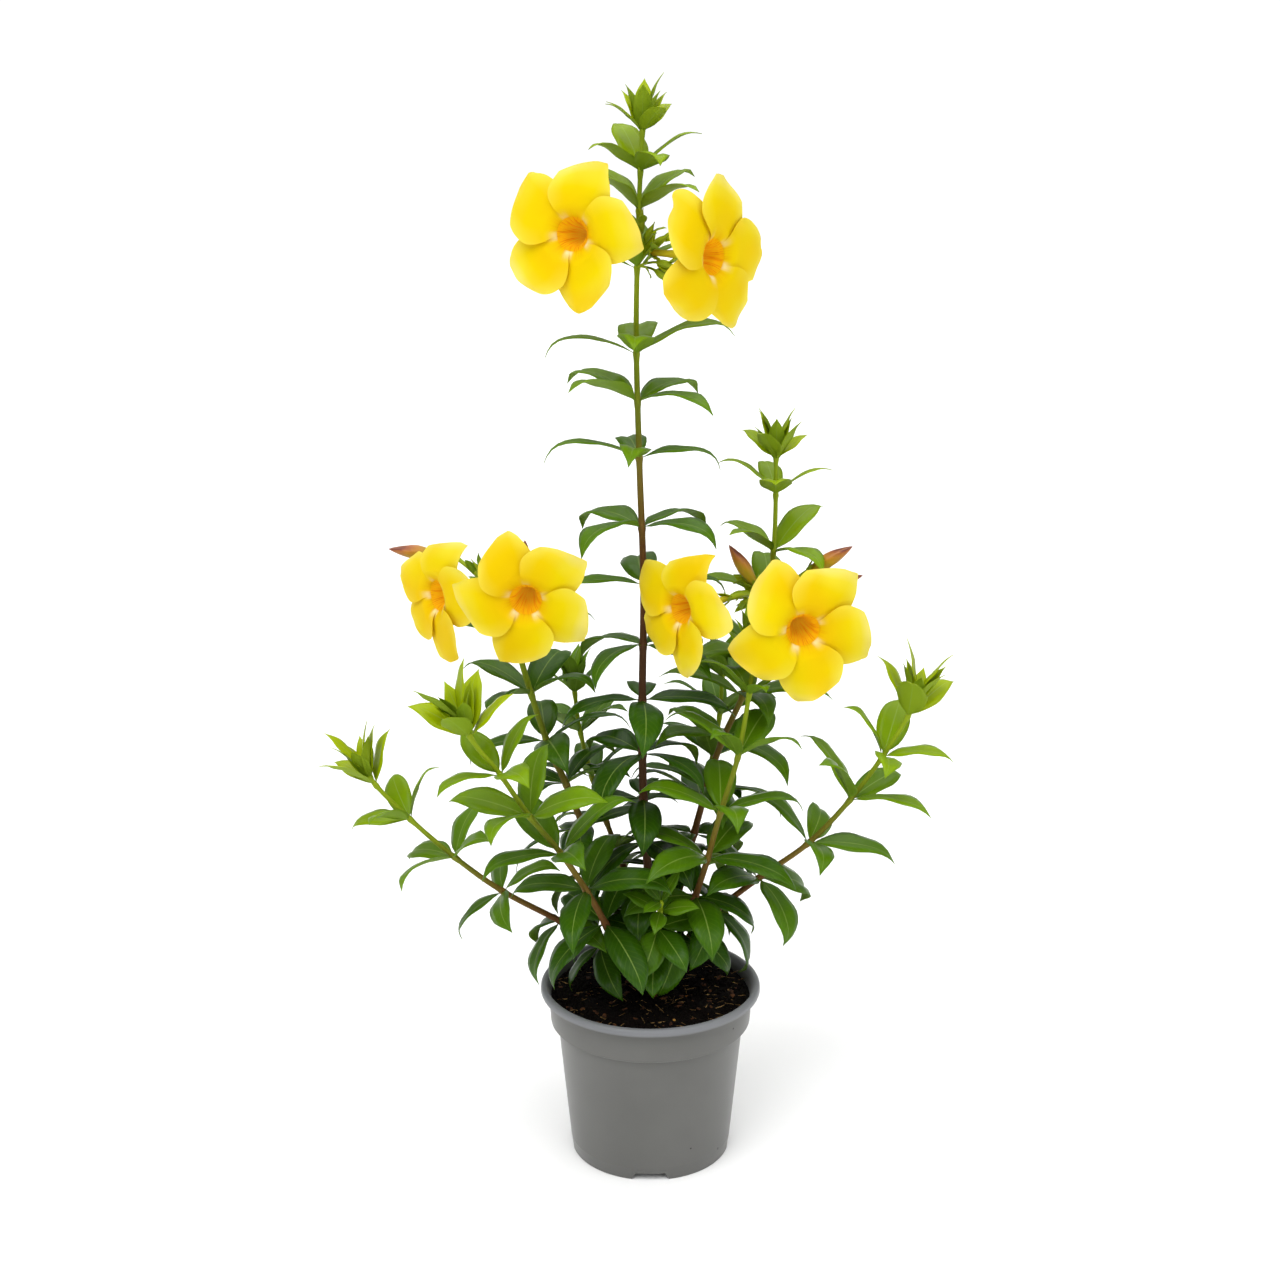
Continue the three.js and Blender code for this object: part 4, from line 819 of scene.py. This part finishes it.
def blade_tree():
    """A blade on each point, along its heading, with a folded, crowned, rippled face that bends down and hooks."""
    tree, given = new_tree("blades", Slim="Float", Fold="Float", Bulge="Float", Thickness="Float", Steps="Int",
                           Material="Material")
    blade = add(tree, "GeometryNodeMeshCube", (1, 1, 1), 15, 5, 2).outputs[0]
    place = add(tree, "ShaderNodeSeparateXYZ", add(tree, "GeometryNodeInputPosition"))
    for name, axis, size, offset in (("along", 0, 1.0, 0.5), ("across", 1, 2.0, 0.0), ("layer", 2, 2.0, 0.0)):
        value = add(tree, TIMES_PLUS, place.outputs[axis], size, offset)
        blade = add(tree, "GeometryNodeStoreNamedAttribute", blade, data_type="FLOAT", domain="POINT",
                    inputs={"Name": name, "Value": value})
    copies = add(tree, "GeometryNodeInstanceOnPoints", given["Mesh"], inputs={"Instance": blade})
    blades = add(tree, "GeometryNodeRealizeInstances", copies)
    heading, face, root = (add(tree, ARROW, name) for name in ("heading", "face", "root"))
    length, width, droop, hook, t, s, layer, vary = (
        add(tree, NUMBER, name) for name in ("length", "width", "droop", "hook", "along", "across", "layer", "vary"))
    steps = given["Steps"]

    def turned(at, first, second, sign):
        """The first direction turned towards the second by the blade's bend at a share of its length."""
        even = add(tree, TIMES, add(tree, TIMES_PLUS, at, 0.4, 0.6), add(tree, TIMES, at, droop))
        late = add(tree, RANGE, at, 0.72, 1.0, 0.0, 1.0, interpolation_type="SMOOTHSTEP")
        bend = add(tree, TIMES_PLUS, late, hook, even)
        plain = add(tree, SCALED, first, add(tree, COSINE, bend))
        leaning = add(tree, SCALED, second, add(tree, TIMES, add(tree, SINE, bend), sign))
        return add(tree, SUM, plain, leaning)

    # The rib: each step adds its stride in the direction of the bend, as far as the point is along the blade
    begin, end = tree.nodes.new("GeometryNodeRepeatInput"), tree.nodes.new("GeometryNodeRepeatOutput")
    begin.pair_with_output(end)
    end.repeat_items.clear()
    end.repeat_items.new("VECTOR", "Rib")
    fill(tree, begin, {"Iterations": steps, "Rib": root})
    turn = begin.outputs["Iteration"]
    at = add(tree, OVER, add(tree, PLUS, turn, 1.0), steps)
    passed = add(tree, MINUS, add(tree, TIMES, t, steps), turn, use_clamp=True)
    stride = add(tree, TIMES, add(tree, OVER, length, steps), passed)
    move = add(tree, SCALED, turned(at, heading, face, -1.0), stride)
    fill(tree, end, {"Rib": add(tree, SUM, begin.outputs["Rib"], move)})

    # The half width, and the lift of the face over the rib: its fold, its crown and a slight ripple
    outline = add(tree, "ShaderNodeFloatCurve", 1.0, t)
    curve = outline.mapping.curves[0]
    for x, y in OUTLINE[1:-1]:
        curve.points.new(x, y)
    curve.points[0].location, curve.points[-1].location = OUTLINE[0], OUTLINE[-1]
    outline.mapping.update()
    half = add(tree, TIMES, add(tree, TIMES, add(tree, TIMES, length, given["Slim"]), width), outline)
    out = add(tree, SIZE_OF, s)
    crown = add(tree, SINE, add(tree, TIMES, out, math.pi))
    rise = add(tree, TIMES_PLUS, crown, given["Bulge"], add(tree, TIMES, out, given["Fold"]))
    ripple = add(tree, SINE, add(tree, TIMES_PLUS, t, 13.0, add(tree, TIMES_PLUS, vary, 9.0, s)))
    ripple = add(tree, TIMES_PLUS, add(tree, TIMES, ripple, out), 0.07, rise)
    thin = add(tree, TIMES, add(tree, TIMES_PLUS, out, -0.35, 0.5), given["Thickness"])
    lift = add(tree, TIMES_PLUS, thin, layer, add(tree, TIMES, ripple, half))
    sideways = add(tree, SCALED, add(tree, CROSS, heading, face), add(tree, TIMES, half, s))
    upwards = add(tree, SCALED, turned(t, face, heading, 1.0), lift)
    place = add(tree, SUM, end.outputs["Rib"], add(tree, SUM, sideways, upwards))
    finish_tree(tree, add(tree, "GeometryNodeSetPosition", blades, inputs={"Position": place}), given["Material"])
    return tree


def rod_tree():
    """A round rod along each line of points, for stems and stalks."""
    tree, given = new_tree("rods", Sides="Int", Material="Material")
    lines = add(tree, "GeometryNodeMeshToCurve", given["Mesh"])
    ring = add(tree, "GeometryNodeCurvePrimitiveCircle", inputs={"Resolution": given["Sides"], "Radius": 1.0})
    sizes = {"Scale": add(tree, NUMBER, "radius"), "Fill Caps": True}
    finish_tree(tree, add(tree, "GeometryNodeCurveToMesh", lines, ring, inputs=sizes), given["Material"])
    return tree


BLADES, RODS = blade_tree(), rod_tree()


# A stem's leaves: the tone of the youngest, the tone of the oldest and the whorls that it takes to get there
AGEING = {
    "leader": (0.02, 0.9, 13), "tall_right": (0.04, 0.85, 10), "tall_left": (0.3, 0.9, 8),
    "back_right": (0.5, 0.95, 5), "back_left": (0.5, 0.95, 5), "front_right": (0.3, 0.78, 6),
    "far_right": (0.04, 0.78, 5), "far_left": (0.04, 0.84, 5), "front_left": (0.08, 0.88, 5.5),
    "low_front": (0.62, 0.98, 5),
}
# The heights at which a stem turns woody, from fully green to fully brown: the leader's own, and for the others
# the distance under the tip and the height
LEADER_BARK, BARK = (650, 420), (40, 170)
ROD_SIDES = 12


def leaf_points(name, leaves, ageing):
    """The leaves of a stem as points that carry how each blade stands. Those next to the tip are the broadest."""
    rank, root, heading, face, length, width, droop, hook, vary = (
        np.array([getattr(leaf, field) for leaf in leaves], float)
        for field in ("rank", "root", "heading", "face", "length", "width", "droop", "hook", "vary"))
    young, old, ranks = ageing
    tone = young + (old - young) * np.clip((rank - 1) / ranks, 0, 1) ** 0.75
    broad = (0.8 + 0.2 * smooth(rank)) * (1.22 - 0.22 * smooth((rank - 1) / 3))
    return mesh_from(name, root, root=root * MM, heading=heading, face=face, length=length * MM, width=width * broad,
                     droop=np.radians(droop), hook=np.radians(hook), vary=vary, tone=tone)


def rod_lines(name, lines):
    """Lines of points as one mesh of edges, each point with its radius and tone."""
    points, edges, radii, tones = [], [], [], []
    for line, radius, tone in lines:
        first = len(points)
        points += list(line)
        edges += [(first + i, first + i + 1) for i in range(len(line) - 1)]
        radii += list(np.broadcast_to(radius, len(line)))
        tones += list(np.broadcast_to(tone, len(line)))
    return mesh_from(name, points, edges=edges, radius=np.array(radii) * MM, tone=tones)


def sampled(road, step):
    distances = np.linspace(0, road.length, max(3, round(road.length / step)))
    return distances, np.array([along(road, d)[0] for d in distances])


def stem_lines(owner):
    """The stem, slightly swollen under each ring of leaves, and its flower stalks and green buds."""
    distances, points = sampled(owner.road, 3)
    share = distances / owner.road.length
    # 0.7 mm thicker at each ring
    swell = sum(0.7 * np.exp(-(((distances - d) / 2.6) ** 2)) for d in owner.whorls)
    end = 1 - 0.8 * smooth((share - 0.985) / 0.015)
    height = points[:, 2]
    green, brown = LEADER_BARK if owner.stem["name"] == "leader" else (height[-1] - BARK[0], BARK[1])
    woody = np.clip((green - height) / (green - brown), 0, 1)
    lines = [(points, owner.radius_at(share) * end + swell, woody)]
    for road, radius_at in owner.stalks:
        distances, points = sampled(road, 2)
        lines.append((points, radius_at(distances / road.length), 0.05))
    return lines


def small_leaf(root, axis, arm, angle, **sizes):
    """A leaf that leans off an axis towards an arm square to it, with its face to the axis."""
    return SimpleNamespace(rank=0.0, root=root, heading=turned_towards(axis, arm, angle),
                           face=turned_towards(-arm, axis, angle), **sizes)


def sepals(owner):
    """Five small pointed sepals round the foot of each flower and bud."""
    for flower in BLOOMS + BUDS:
        if grown[flower["stem"]] is not owner:
            continue
        foot, out = flower["end"], flower["out"]
        for k in range(5):
            around = math.radians(72 * k)
            arm = flower["place"]([math.cos(around), math.sin(around), 0]) - flower["place"]([0, 0, 0])
            yield small_leaf(foot + arm * 1.6 - out, out, arm, 0.42, length=11.0, width=1.15, droop=10.0, hook=16.0,
                             vary=0.3 * k - 0.6)


def tuft(owner):
    """The youngest leaves of a shoot, still narrow and upright round its tip."""
    if owner.stem["name"] in ("tall_left", "low_front"):
        return
    foot, heading = along(owner.road, owner.road.length - 12)
    axis = unit(heading + (UP - heading) * 0.35)
    first, second = square_to(axis)
    phase = owner.stem["phase"]
    for k in range(6):
        outward = turned_towards(first, second, math.radians(phase + 60 * k + 25))
        yield small_leaf(foot, axis, outward, math.radians(22 - 6 * math.sin(3.1 * k + phase)),
                         length=37.0 + 4 * math.cos(2.3 * k + phase), width=1.0, droop=6.0, hook=16.0,
                         vary=math.sin(5 * k))


def bracts(owner):
    """Narrow bracts along the stalks of the green buds."""
    for cluster in GREEN_BUDS:
        if grown[cluster["stem"]] is not owner:
            continue
        for i, tip in enumerate(cluster["tips"]):
            road = green_bud_track(owner, cluster["joint"], tip)
            for k, share in enumerate((0.2, 0.45, 0.7)):
                root, heading = along(road, share * road.length)
                arm = turned_towards(*square_to(heading), 2.4 * (3 * i + k))
                yield small_leaf(root, heading, arm, 0.5, length=21.0 - 2 * k, width=1.1, droop=8.0, hook=14.0,
                                 vary=math.sin(3 * i + k))


for owner in grown.values():
    name = owner.stem["name"]
    leaves = leaf_points(name, [*owner.leaves, *tuft(owner), *sepals(owner), *bracts(owner)], AGEING[name])
    show(grow(f"leaves_{name}", BLADES, leaves, Slim=LEAF["slim"], Fold=0.1, Bulge=0.12, Thickness=0.45 * MM,
              Steps=LEAF["steps"], Material=LEAF_WAX), "leaf_green", f"stem_{name}")
    wood = rod_lines(name, stem_lines(owner))
    show(grow(f"shoot_{name}", RODS, wood, Sides=ROD_SIDES, Material=SHOOT), "leaf_green", f"stem_{name}")


# Blooms: one sheet a flower, from the foot of its tube through the throat to the edges of its petals

# Radii and heights of the tube and the throat
FUNNEL = [(0, -58), (2.2, -58), (2.3, -52), (2.5, -44), (3, -37), (3.8, -32), (4.9, -27.5), (6.1, -22.5),
          (7.1, -17.5), (8, -13), (9, -9.6), (10.5, -6.8), (12.7, -4.5)]
COLUMNS, ROWS = 18, 26  # the faces across a petal and along it
ROOT = 0.1  # where a petal starts, as a share of its rib
# Where the tip of each petal stands across it, from -1 to 1, and how pointed it is, up to 1
TIPS = {
    "bloom_top_left": [(-0.5, 0.5), (-0.6, 0.6), (-0.5, 0.3), (-0.3, 0.2), (-0.15, 0.6)],
    "bloom_top_right": [(0.6, 0.7), (0.55, 0.95), (0, 0.05), (-0.1, 0.15), (-0.2, 1)],
    "bloom_far_left": [(-0.4, 0.3), (-0.7, 0.8), (0.7, 0.7), (0.6, 0.9), (0.3, 0.4)],
    "bloom_left": [(-0.5, 0.35), (-0.4, 0.6), (-0.6, 0.3), (-0.5, 0.4), (-0.6, 0.45)],
    "bloom_middle": [(-0.4, 0.25), (-0.7, 1), (-0.6, 0.5), (0.2, 0.5), (0.1, 0.35)],
    "bloom_right": [(-0.6, 0.4), (-0.6, 0.35), (-0.3, 0.15), (-0.35, 0.6), (-0.4, 0.45)],
}
PETAL_WALL = 0.4


def circle_at(radius, turn, height):
    return np.stack([radius * np.cos(turn), radius * np.sin(turn), np.full_like(turn, height)], axis=1)


def petal_sheet(bloom):
    """The sheet of a flower. Its points know their place along and across the petals and round the flower, and
    how near they are to the pale spot where two petals meet, which is partly a painted glint."""
    columns = 5 * COLUMNS
    points, faces, fields = [], [], {"along": [], "around": [], "seam": [], "across": []}

    def add_row(row, **values):
        points.extend(row)
        for field, value in values.items():
            fields[field].extend(np.broadcast_to(value, len(row)))

    around = np.radians(bloom["roll"] + 360 * np.arange(columns) / columns)
    flute = 0.05 * np.cos(2 * math.pi * (np.arange(columns) % COLUMNS / COLUMNS))
    last = len(FUNNEL) - 1
    for i, (radius, height) in enumerate(FUNNEL):
        fluted = 1 + flute * smooth(i / len(FUNNEL)) * (1 - smooth((i - 9) / 2))
        add_row(circle_at(radius * fluted, around, height), along=(i - last) / last, around=around, seam=0, across=0)
        ring = i * columns + np.arange(columns)
        if i < last:
            faces += np.stack([ring, np.roll(ring, -1), np.roll(ring, -1) + columns, ring + columns], 1).tolist()
    s = np.linspace(-1, 1, COLUMNS + 1)
    for k in range(5):
        place, point = TIPS[bloom["name"]][k]
        out = (s - place) / (1 + np.sign(place - s) * place)
        # the outline of the end: from 0 at either side to 1 at the tip, round or pointed
        round_end = (np.sqrt(1 - (0.75 * out) ** 2) - 0.6614) / 0.3386
        bow = (1 - point) * round_end + point * (1 - np.abs(out))
        drop = 0.1 * point + 0.1 * abs(place) * np.clip((place - s) * np.sign(place), 0, None)
        wave = 1.7 * k + bloom["roll"]
        turn = np.radians(bloom["roll"] + 72 * k + 36 * s)
        mouth = circle_at(FUNNEL[-1][0], turn, FUNNEL[-1][1])
        rib = petal_rib(bloom["curl"][k], 100)
        row = [last * columns + (k * COLUMNS + j - COLUMNS // 2) % columns for j in range(COLUMNS + 1)]
        for i in range(1, ROWS + 1):
            a = i / ROWS
            share = ROOT + (1 - ROOT) * a
            # the rows end lower at the sides of the petal than at its tip
            side = (0.8845 - drop) * share
            t = side + ((1.02 + 0.04 * point) * share - side) * bow
            taper = 1 - 0.3 * point * smooth((a - 0.45) / 0.55)
            half = petal_half(side, np.interp(side, *rib[:2]), 0.74) * taper * s
            grid = petal_points(bloom, k, np.minimum(t, 1.06), half, 100)
            # grown out of the mouth of the throat, and softly waved towards the edge
            grid = mouth + (grid - mouth) * smooth(a / 0.26)
            grid[:, 2] += 1.5 * a * a * np.sin(2.2 * s + wave) + 0.7 * a**3 * np.sin(5.5 * s + 2 * wave)
            # the pale spot where two petals meet, partly a painted glint, made brighter at the lower junctions of the
            # flower
            spot = np.exp(-((a - 0.1) / 0.06) ** 2) * smooth((np.abs(s) - 0.5) / 0.3)
            new = list(range(len(points), len(points) + len(s)))
            add_row(grid, along=share, around=turn, seam=(0.6 - 0.35 * np.sin(turn)) * spot, across=s)
            faces += [(row[j], row[j + 1], new[j + 1], new[j]) for j in range(COLUMNS)]
            row = new
    return mesh_from(bloom["name"], bloom["place"](np.array(points)), faces, material=SATIN, **fields)


for bloom in BLOOMS:
    piece = in_scene(bloom["name"].replace("bloom", "petals"), petal_sheet(bloom))
    piece.modifiers.new("weld", "WELD").merge_threshold = 0.00002
    wall = piece.modifiers.new("wall", "SOLIDIFY")
    wall.thickness, wall.offset = PETAL_WALL * MM, -1
    piece.data = made_plain(piece)
    # The wall doubles the points: first those of the outside, then those of the inside
    inner = np.repeat([0, 1], len(piece.data.vertices) // 2)
    piece.data.attributes.new("inner", "FLOAT", "POINT").data.foreach_set("value", inner.astype(np.float32))
    piece.data.shade_smooth()
    piece.data.set_sharp_from_angle(angle=math.radians(50))
    show(piece, "petal_yellow", bloom["name"])


# Closed buds: rolled petals that wind round a spindle

SPINDLE = [(0, 0.34), (0.03, 0.42), (0.1, 0.55), (0.2, 0.7), (0.42, 0.98), (0.6, 0.88), (0.75, 0.64), (0.88, 0.36),
           (0.96, 0.16), (1, 0.02)]
BUD_ROWS, BUD_COLUMNS = 26, 30

share = np.linspace(0, 1, BUD_ROWS + 1)[:, None]
radius = BUD_RADIUS * np.interp(share[:, 0], *np.transpose(SPINDLE))
radius = np.convolve(np.pad(radius, 1, mode="edge"), [0.25, 0.5, 0.25], "valid")
radius[-1] = 0.05
turn = np.radians(360 * np.arange(BUD_COLUMNS) / BUD_COLUMNS)[None] + 0 * share
wind = (turn * 5 / (2 * math.pi) + 1.1 * share) % 1
ring = radius[:, None] * (1 + 0.09 * (wind - 0.5) * smooth(share / 0.2))
grid = np.arange(ring.size).reshape(ring.shape)
faces = np.stack([grid[:-1], np.roll(grid[:-1], -1, 1), np.roll(grid[1:], -1, 1), grid[1:]], -1).reshape(-1, 4).tolist()
faces += [grid[0][::-1].tolist(), grid[-1].tolist()]
for bud in BUDS:
    length = math.dist(bud["tip"], bud["base"])
    points = np.stack([ring * np.cos(turn), ring * np.sin(turn), length * (share + 0 * turn)], -1)
    # fold marks the rolled edges, where the painted highlight goes
    mesh = mesh_from(bud["name"], bud["place"](points.reshape(-1, 3)), faces, material=ROLLED,
                     along=(share + 0.2 * np.sin(turn)).ravel(), fold=(wind ** 3).ravel())
    show(in_scene("rolled_" + bud["name"], mesh), "bud_brown", bud["name"])


# Pot and soil


def turned_profile(profile, sides):
    """A closed ring of a profile of radii and heights. A radius of 0 makes a pole."""
    points, rings = [], []
    turn = 2 * math.pi * np.arange(sides) / sides
    for radius, height in profile:
        count = sides if radius else 1
        rings.append(len(points) + np.arange(sides) % count)
        points += list(circle_at(radius, turn[:count], height))
    faces = []
    for low, high in zip(rings, rings[1:]):
        for j in range(sides):
            k = (j + 1) % sides
            faces.append(list(dict.fromkeys([low[j], low[k], high[k], high[j]]))[::-1])
    return np.array(points), faces


# Radii and heights from the middle of the foot, up the outside, over the lip and down the inside
POT_PROFILE = [
    (0, 0), (38, 0), (39, 2), (41, 6), (60.2, 6), (60.2, 0.4), (60.5, 0), (61.2, 0), (61.55, 0.4), (62.2, 9.2),
    (62.55, 9.7), (62.62, 10.6), (71.8, 105.6), (72.3, 106.6), (73.6, 107.2), (76.4, 107.6), (77.2, 108.2),
    (77.4, 109.2), (78.4, 124), (78.8, 130.5), (79.4, 131.7), (80.6, 132), (83.8, 132), (84.6, 132.4), (85, 133.4),
    (84.9, 135.4), (84.4, 136.8), (83.4, 137.7), (82.2, 138), (81, 137.9), (80.2, 137.4), (79.2, 135.4),
    (77.6, 130.6), (76, 109.4), (70.8, 108.3), (61.2, 7.6), (39.9, 7.6), (36.9, 1.6), (0, 1.6)]
# Four cut-outs in the foot of the wall, seen from outside, and the six drain holes
FOOT_CUT = [(-15, -1), (15, -1), (11.6, 5.1), (11, 5.7), (-11, 5.7), (-11.6, 5.1)]
FOOT_CUT_FROM, FOOT_CUT_TO = -56.5, -64.5
DRAIN_AT, DRAIN_RADIUS, DRAIN_FROM, DRAIN_TO = 50, 4.5, 1, 11

pot = in_scene("nursery_pot", mesh_from("nursery_pot", *turned_profile(POT_PROFILE, 160), material=PLASTIC))
cuts = []
for k in range(4):
    c, s = math.cos(k * math.pi / 2), math.sin(k * math.pi / 2)
    cuts.append([(x * c - y * s, x * s + y * c, z) for y in (FOOT_CUT_FROM, FOOT_CUT_TO) for x, z in FOOT_CUT])
for k in range(6):
    turn = (k + 0.5) * math.pi / 3
    middle = DRAIN_AT * np.array([math.cos(turn), math.sin(turn), 0])
    circle = circle_at(DRAIN_RADIUS, np.radians(np.arange(0.0, 360, 20)), 0) + middle
    cuts.append([point + height * UP for height in (DRAIN_FROM, DRAIN_TO) for point in circle])
for ends in cuts:
    n = len(ends) // 2
    sides = [(i, (i + 1) % n, n + (i + 1) % n, n + i) for i in range(n)]
    faces = [list(range(n))[::-1], list(range(n, 2 * n)), *sides]
    cutter = in_scene("cutter", mesh_from("cutter", ends, faces, smooth_shading=False))
    cut = pot.modifiers.new("cut", "BOOLEAN")
    cut.operation, cut.object, cut.solver = "DIFFERENCE", cutter, "EXACT"
    pot.data = made_plain(pot)
    bpy.data.objects.remove(cutter)
pot.data.shade_smooth()
pot.data.set_sharp_from_angle(angle=math.radians(38))
show(pot, "pot_plastic", "pot")


def mound(x, y):
    """The gentle ups and downs of the peat, and how much of them is left near the wall of the pot."""
    waves = np.sin(x / 11 + 0.7) * np.cos(y / 9) + 0.6 * np.sin((x + y) / 6.3) + 0.5 * np.cos((x - 2 * y) / 14)
    return 0.96 * waves, smooth((77 - np.hypot(x, y)) / 6)


SOIL_PROFILE = [(0, 1.95), (36.5, 1.95), (39.6, 7.95), (60.8, 7.95), (70.3, 108.4), (75.6, 109.8), (77.1, 126)]
SOIL_PROFILE += [(radius, SOIL_TOP) for radius in (*np.linspace(76.6, 2, 60), 0)]
# Lengths and shifts of the fine waves, across and along
fine_waves = np.random.default_rng(7).uniform([0.7, 0.7, 0, 0], [2.4, 2.4, 6, 6], (14, 4))
points, faces = turned_profile(SOIL_PROFILE, 150)
top = points[:, 2] > SOIL_TOP - 0.01
x, y = points[top, 0], points[top, 1]
rough = sum(np.sin(x / a + p) * np.sin(y / b + q) for a, b, p, q in fine_waves)
height, edge = mound(x, y)
points[top, 2] += (height + 0.28 * rough) * edge - 1.2 * (1 - edge)
show(in_scene("peat", mesh_from("peat", points, faces, material=PEAT)), "potting_soil", "soil")


# Crumbs, bark and fibres on the peat


def crumb_tree():
    """Lumps strewn over a surface, each of its own size, turn and dents."""
    tree, given = new_tree("crumbs", Count="Float", Seed="Int", Size="Float", Shape="Vector", Rough="Float",
                           Material="Material")
    seed = {"Seed": given["Seed"]}
    spots = add(tree, "GeometryNodeDistributePointsOnFaces", given["Mesh"], inputs={"Density": given["Count"], **seed})
    lump = add(tree, "GeometryNodeMeshIcoSphere", 1.0, 2)
    shaped = add(tree, "GeometryNodeTransform", lump, inputs={"Scale": given["Shape"]})
    lean = add(tree, RANDOM_ARROW, (-0.35, -0.35, 0), (0.35, 0.35, 6.28), inputs=seed)
    scale = add(tree, TIMES, add(tree, RANDOM_NUMBER, 0.45, 1.3, inputs=seed), given["Size"])
    copies = add(tree, "GeometryNodeInstanceOnPoints", spots,
                 inputs={"Instance": shaped, "Rotation": lean, "Scale": scale})
    real = add(tree, "GeometryNodeRealizeInstances", copies)
    field = add(tree, NOISE, add(tree, "GeometryNodeInputPosition"), 700, 1)
    shift = add(tree, SCALED, add(tree, DIFFERENCE, field.outputs["Color"], (0.5, 0.5, 0.5)), given["Rough"])
    moved = add(tree, "GeometryNodeSetPosition", real, inputs={"Offset": shift})
    coated = add(tree, "GeometryNodeSetMaterial", moved, inputs={"Material": given["Material"]})
    add(tree, "NodeGroupOutput", coated)
    return tree


CRUMBS = crumb_tree()
# Each kind of bit: how many a square metre, seed, size, shape, dents, and its material
BITS = [("peat_crumbs", 110000, 3, 1.5, (1, 0.8, 0.7), 1.2, PEAT)] + [
    (name, count, seed, size, shape, dents, crumb_material(stuff, first, second, roughness, 0.2, (300, 3), (0.4, 0.62)))
    for name, count, seed, size, shape, dents, stuff, first, second, roughness in (
        ("bark_bits", 5000, 11, 2.2, (1.5, 0.8, 0.35), 1.2, "shredded_bark", "#26160C", "#5A361C", 0.8),
        ("root_fibres", 7000, 21, 3.2, (2.6, 0.055, 0.05), 2.6, "coir_fibre", "#5E4526", "#94774A", 0.7),
        ("pale_grit", 800, 31, 1.4, (1, 0.8, 0.7), 0.8, "perlite_and_seed", "#A4641E", "#B8964E", 0.6))]
disc, faces = turned_profile([(radius, SOIL_TOP + 0.3) for radius in (74.5, 62, 40, 20, 0)], 48)
height, edge = mound(disc[:, 0], disc[:, 1])
disc[:, 2] += height * edge
for name, count, seed, size, shape, dents, material in BITS:
    piece = grow(name, CRUMBS, mesh_from(name, disc, faces), Count=count, Seed=seed, Size=size * MM, Shape=shape,
                 Rough=dents * MM, Material=material)
    show(piece, "potting_soil", "soil")


# Floor, backdrop, light and camera

FLOOR_REACH, FLOOR_DROP = 9000, 0.2
BACKDROP = [(8000, -10), (8000, 9000)]

white = new_material("studio_floor", Roughness=0.9, Base_Color=(0.93, 0.93, 0.93, 1), Specular_IOR_Level=0)[0]
corners = [(x * FLOOR_REACH, y * FLOOR_REACH, -FLOOR_DROP) for x, y in ((-1, -1), (1, -1), (1, 1), (-1, 1))]
floor = in_scene("floor", mesh_from("floor", corners, [(0, 1, 2, 3)], material=white, smooth_shading=False))

glow = new_material("white_backdrop", Roughness=1, Base_Color=(0, 0, 0, 1), Emission_Color=(1, 1, 1, 1),
                    Emission_Strength=1.05)[0]
backdrop = in_scene("backdrop", mesh_from("backdrop", *turned_profile(BACKDROP, 48), material=glow))
for rays in ("diffuse", "glossy", "transmission", "shadow"):
    setattr(backdrop, "visible_" + rays, False)

scene = bpy.context.scene
scene.world = bpy.data.worlds.new("studio")
scene.world.use_nodes = True
tree = scene.world.node_tree
fill(tree, tree.nodes["Background"], {"Color": (1, 1, 1, 1), "Strength": 0.42})

# Far softboxes: compass direction, height over the horizon and width in degrees, then strength
SOFTBOXES = [("key", -34, 54, 50, 2.15), ("fill", 50, 44, 60, 1.0), ("top", 170, 66, 60, 1.2)]
for name, compass, height, width, power in SOFTBOXES:
    light = bpy.data.lights.new(name, "SUN")
    light.angle, light.energy = math.radians(width), power
    in_scene(name, light).rotation_euler = (math.radians(90 - height), 0, math.radians(compass))

lens = bpy.data.cameras.new("camera")
lens.lens, lens.sensor_width, lens.shift_x = 57.15, 36, -0.0081
scene.camera = in_scene("camera", lens)
scene.camera.location = (0, -1.44044, 0.83149)
scene.camera.rotation_euler = (math.radians(73.8), 0, 0)
scene.view_settings.view_transform = "Standard"
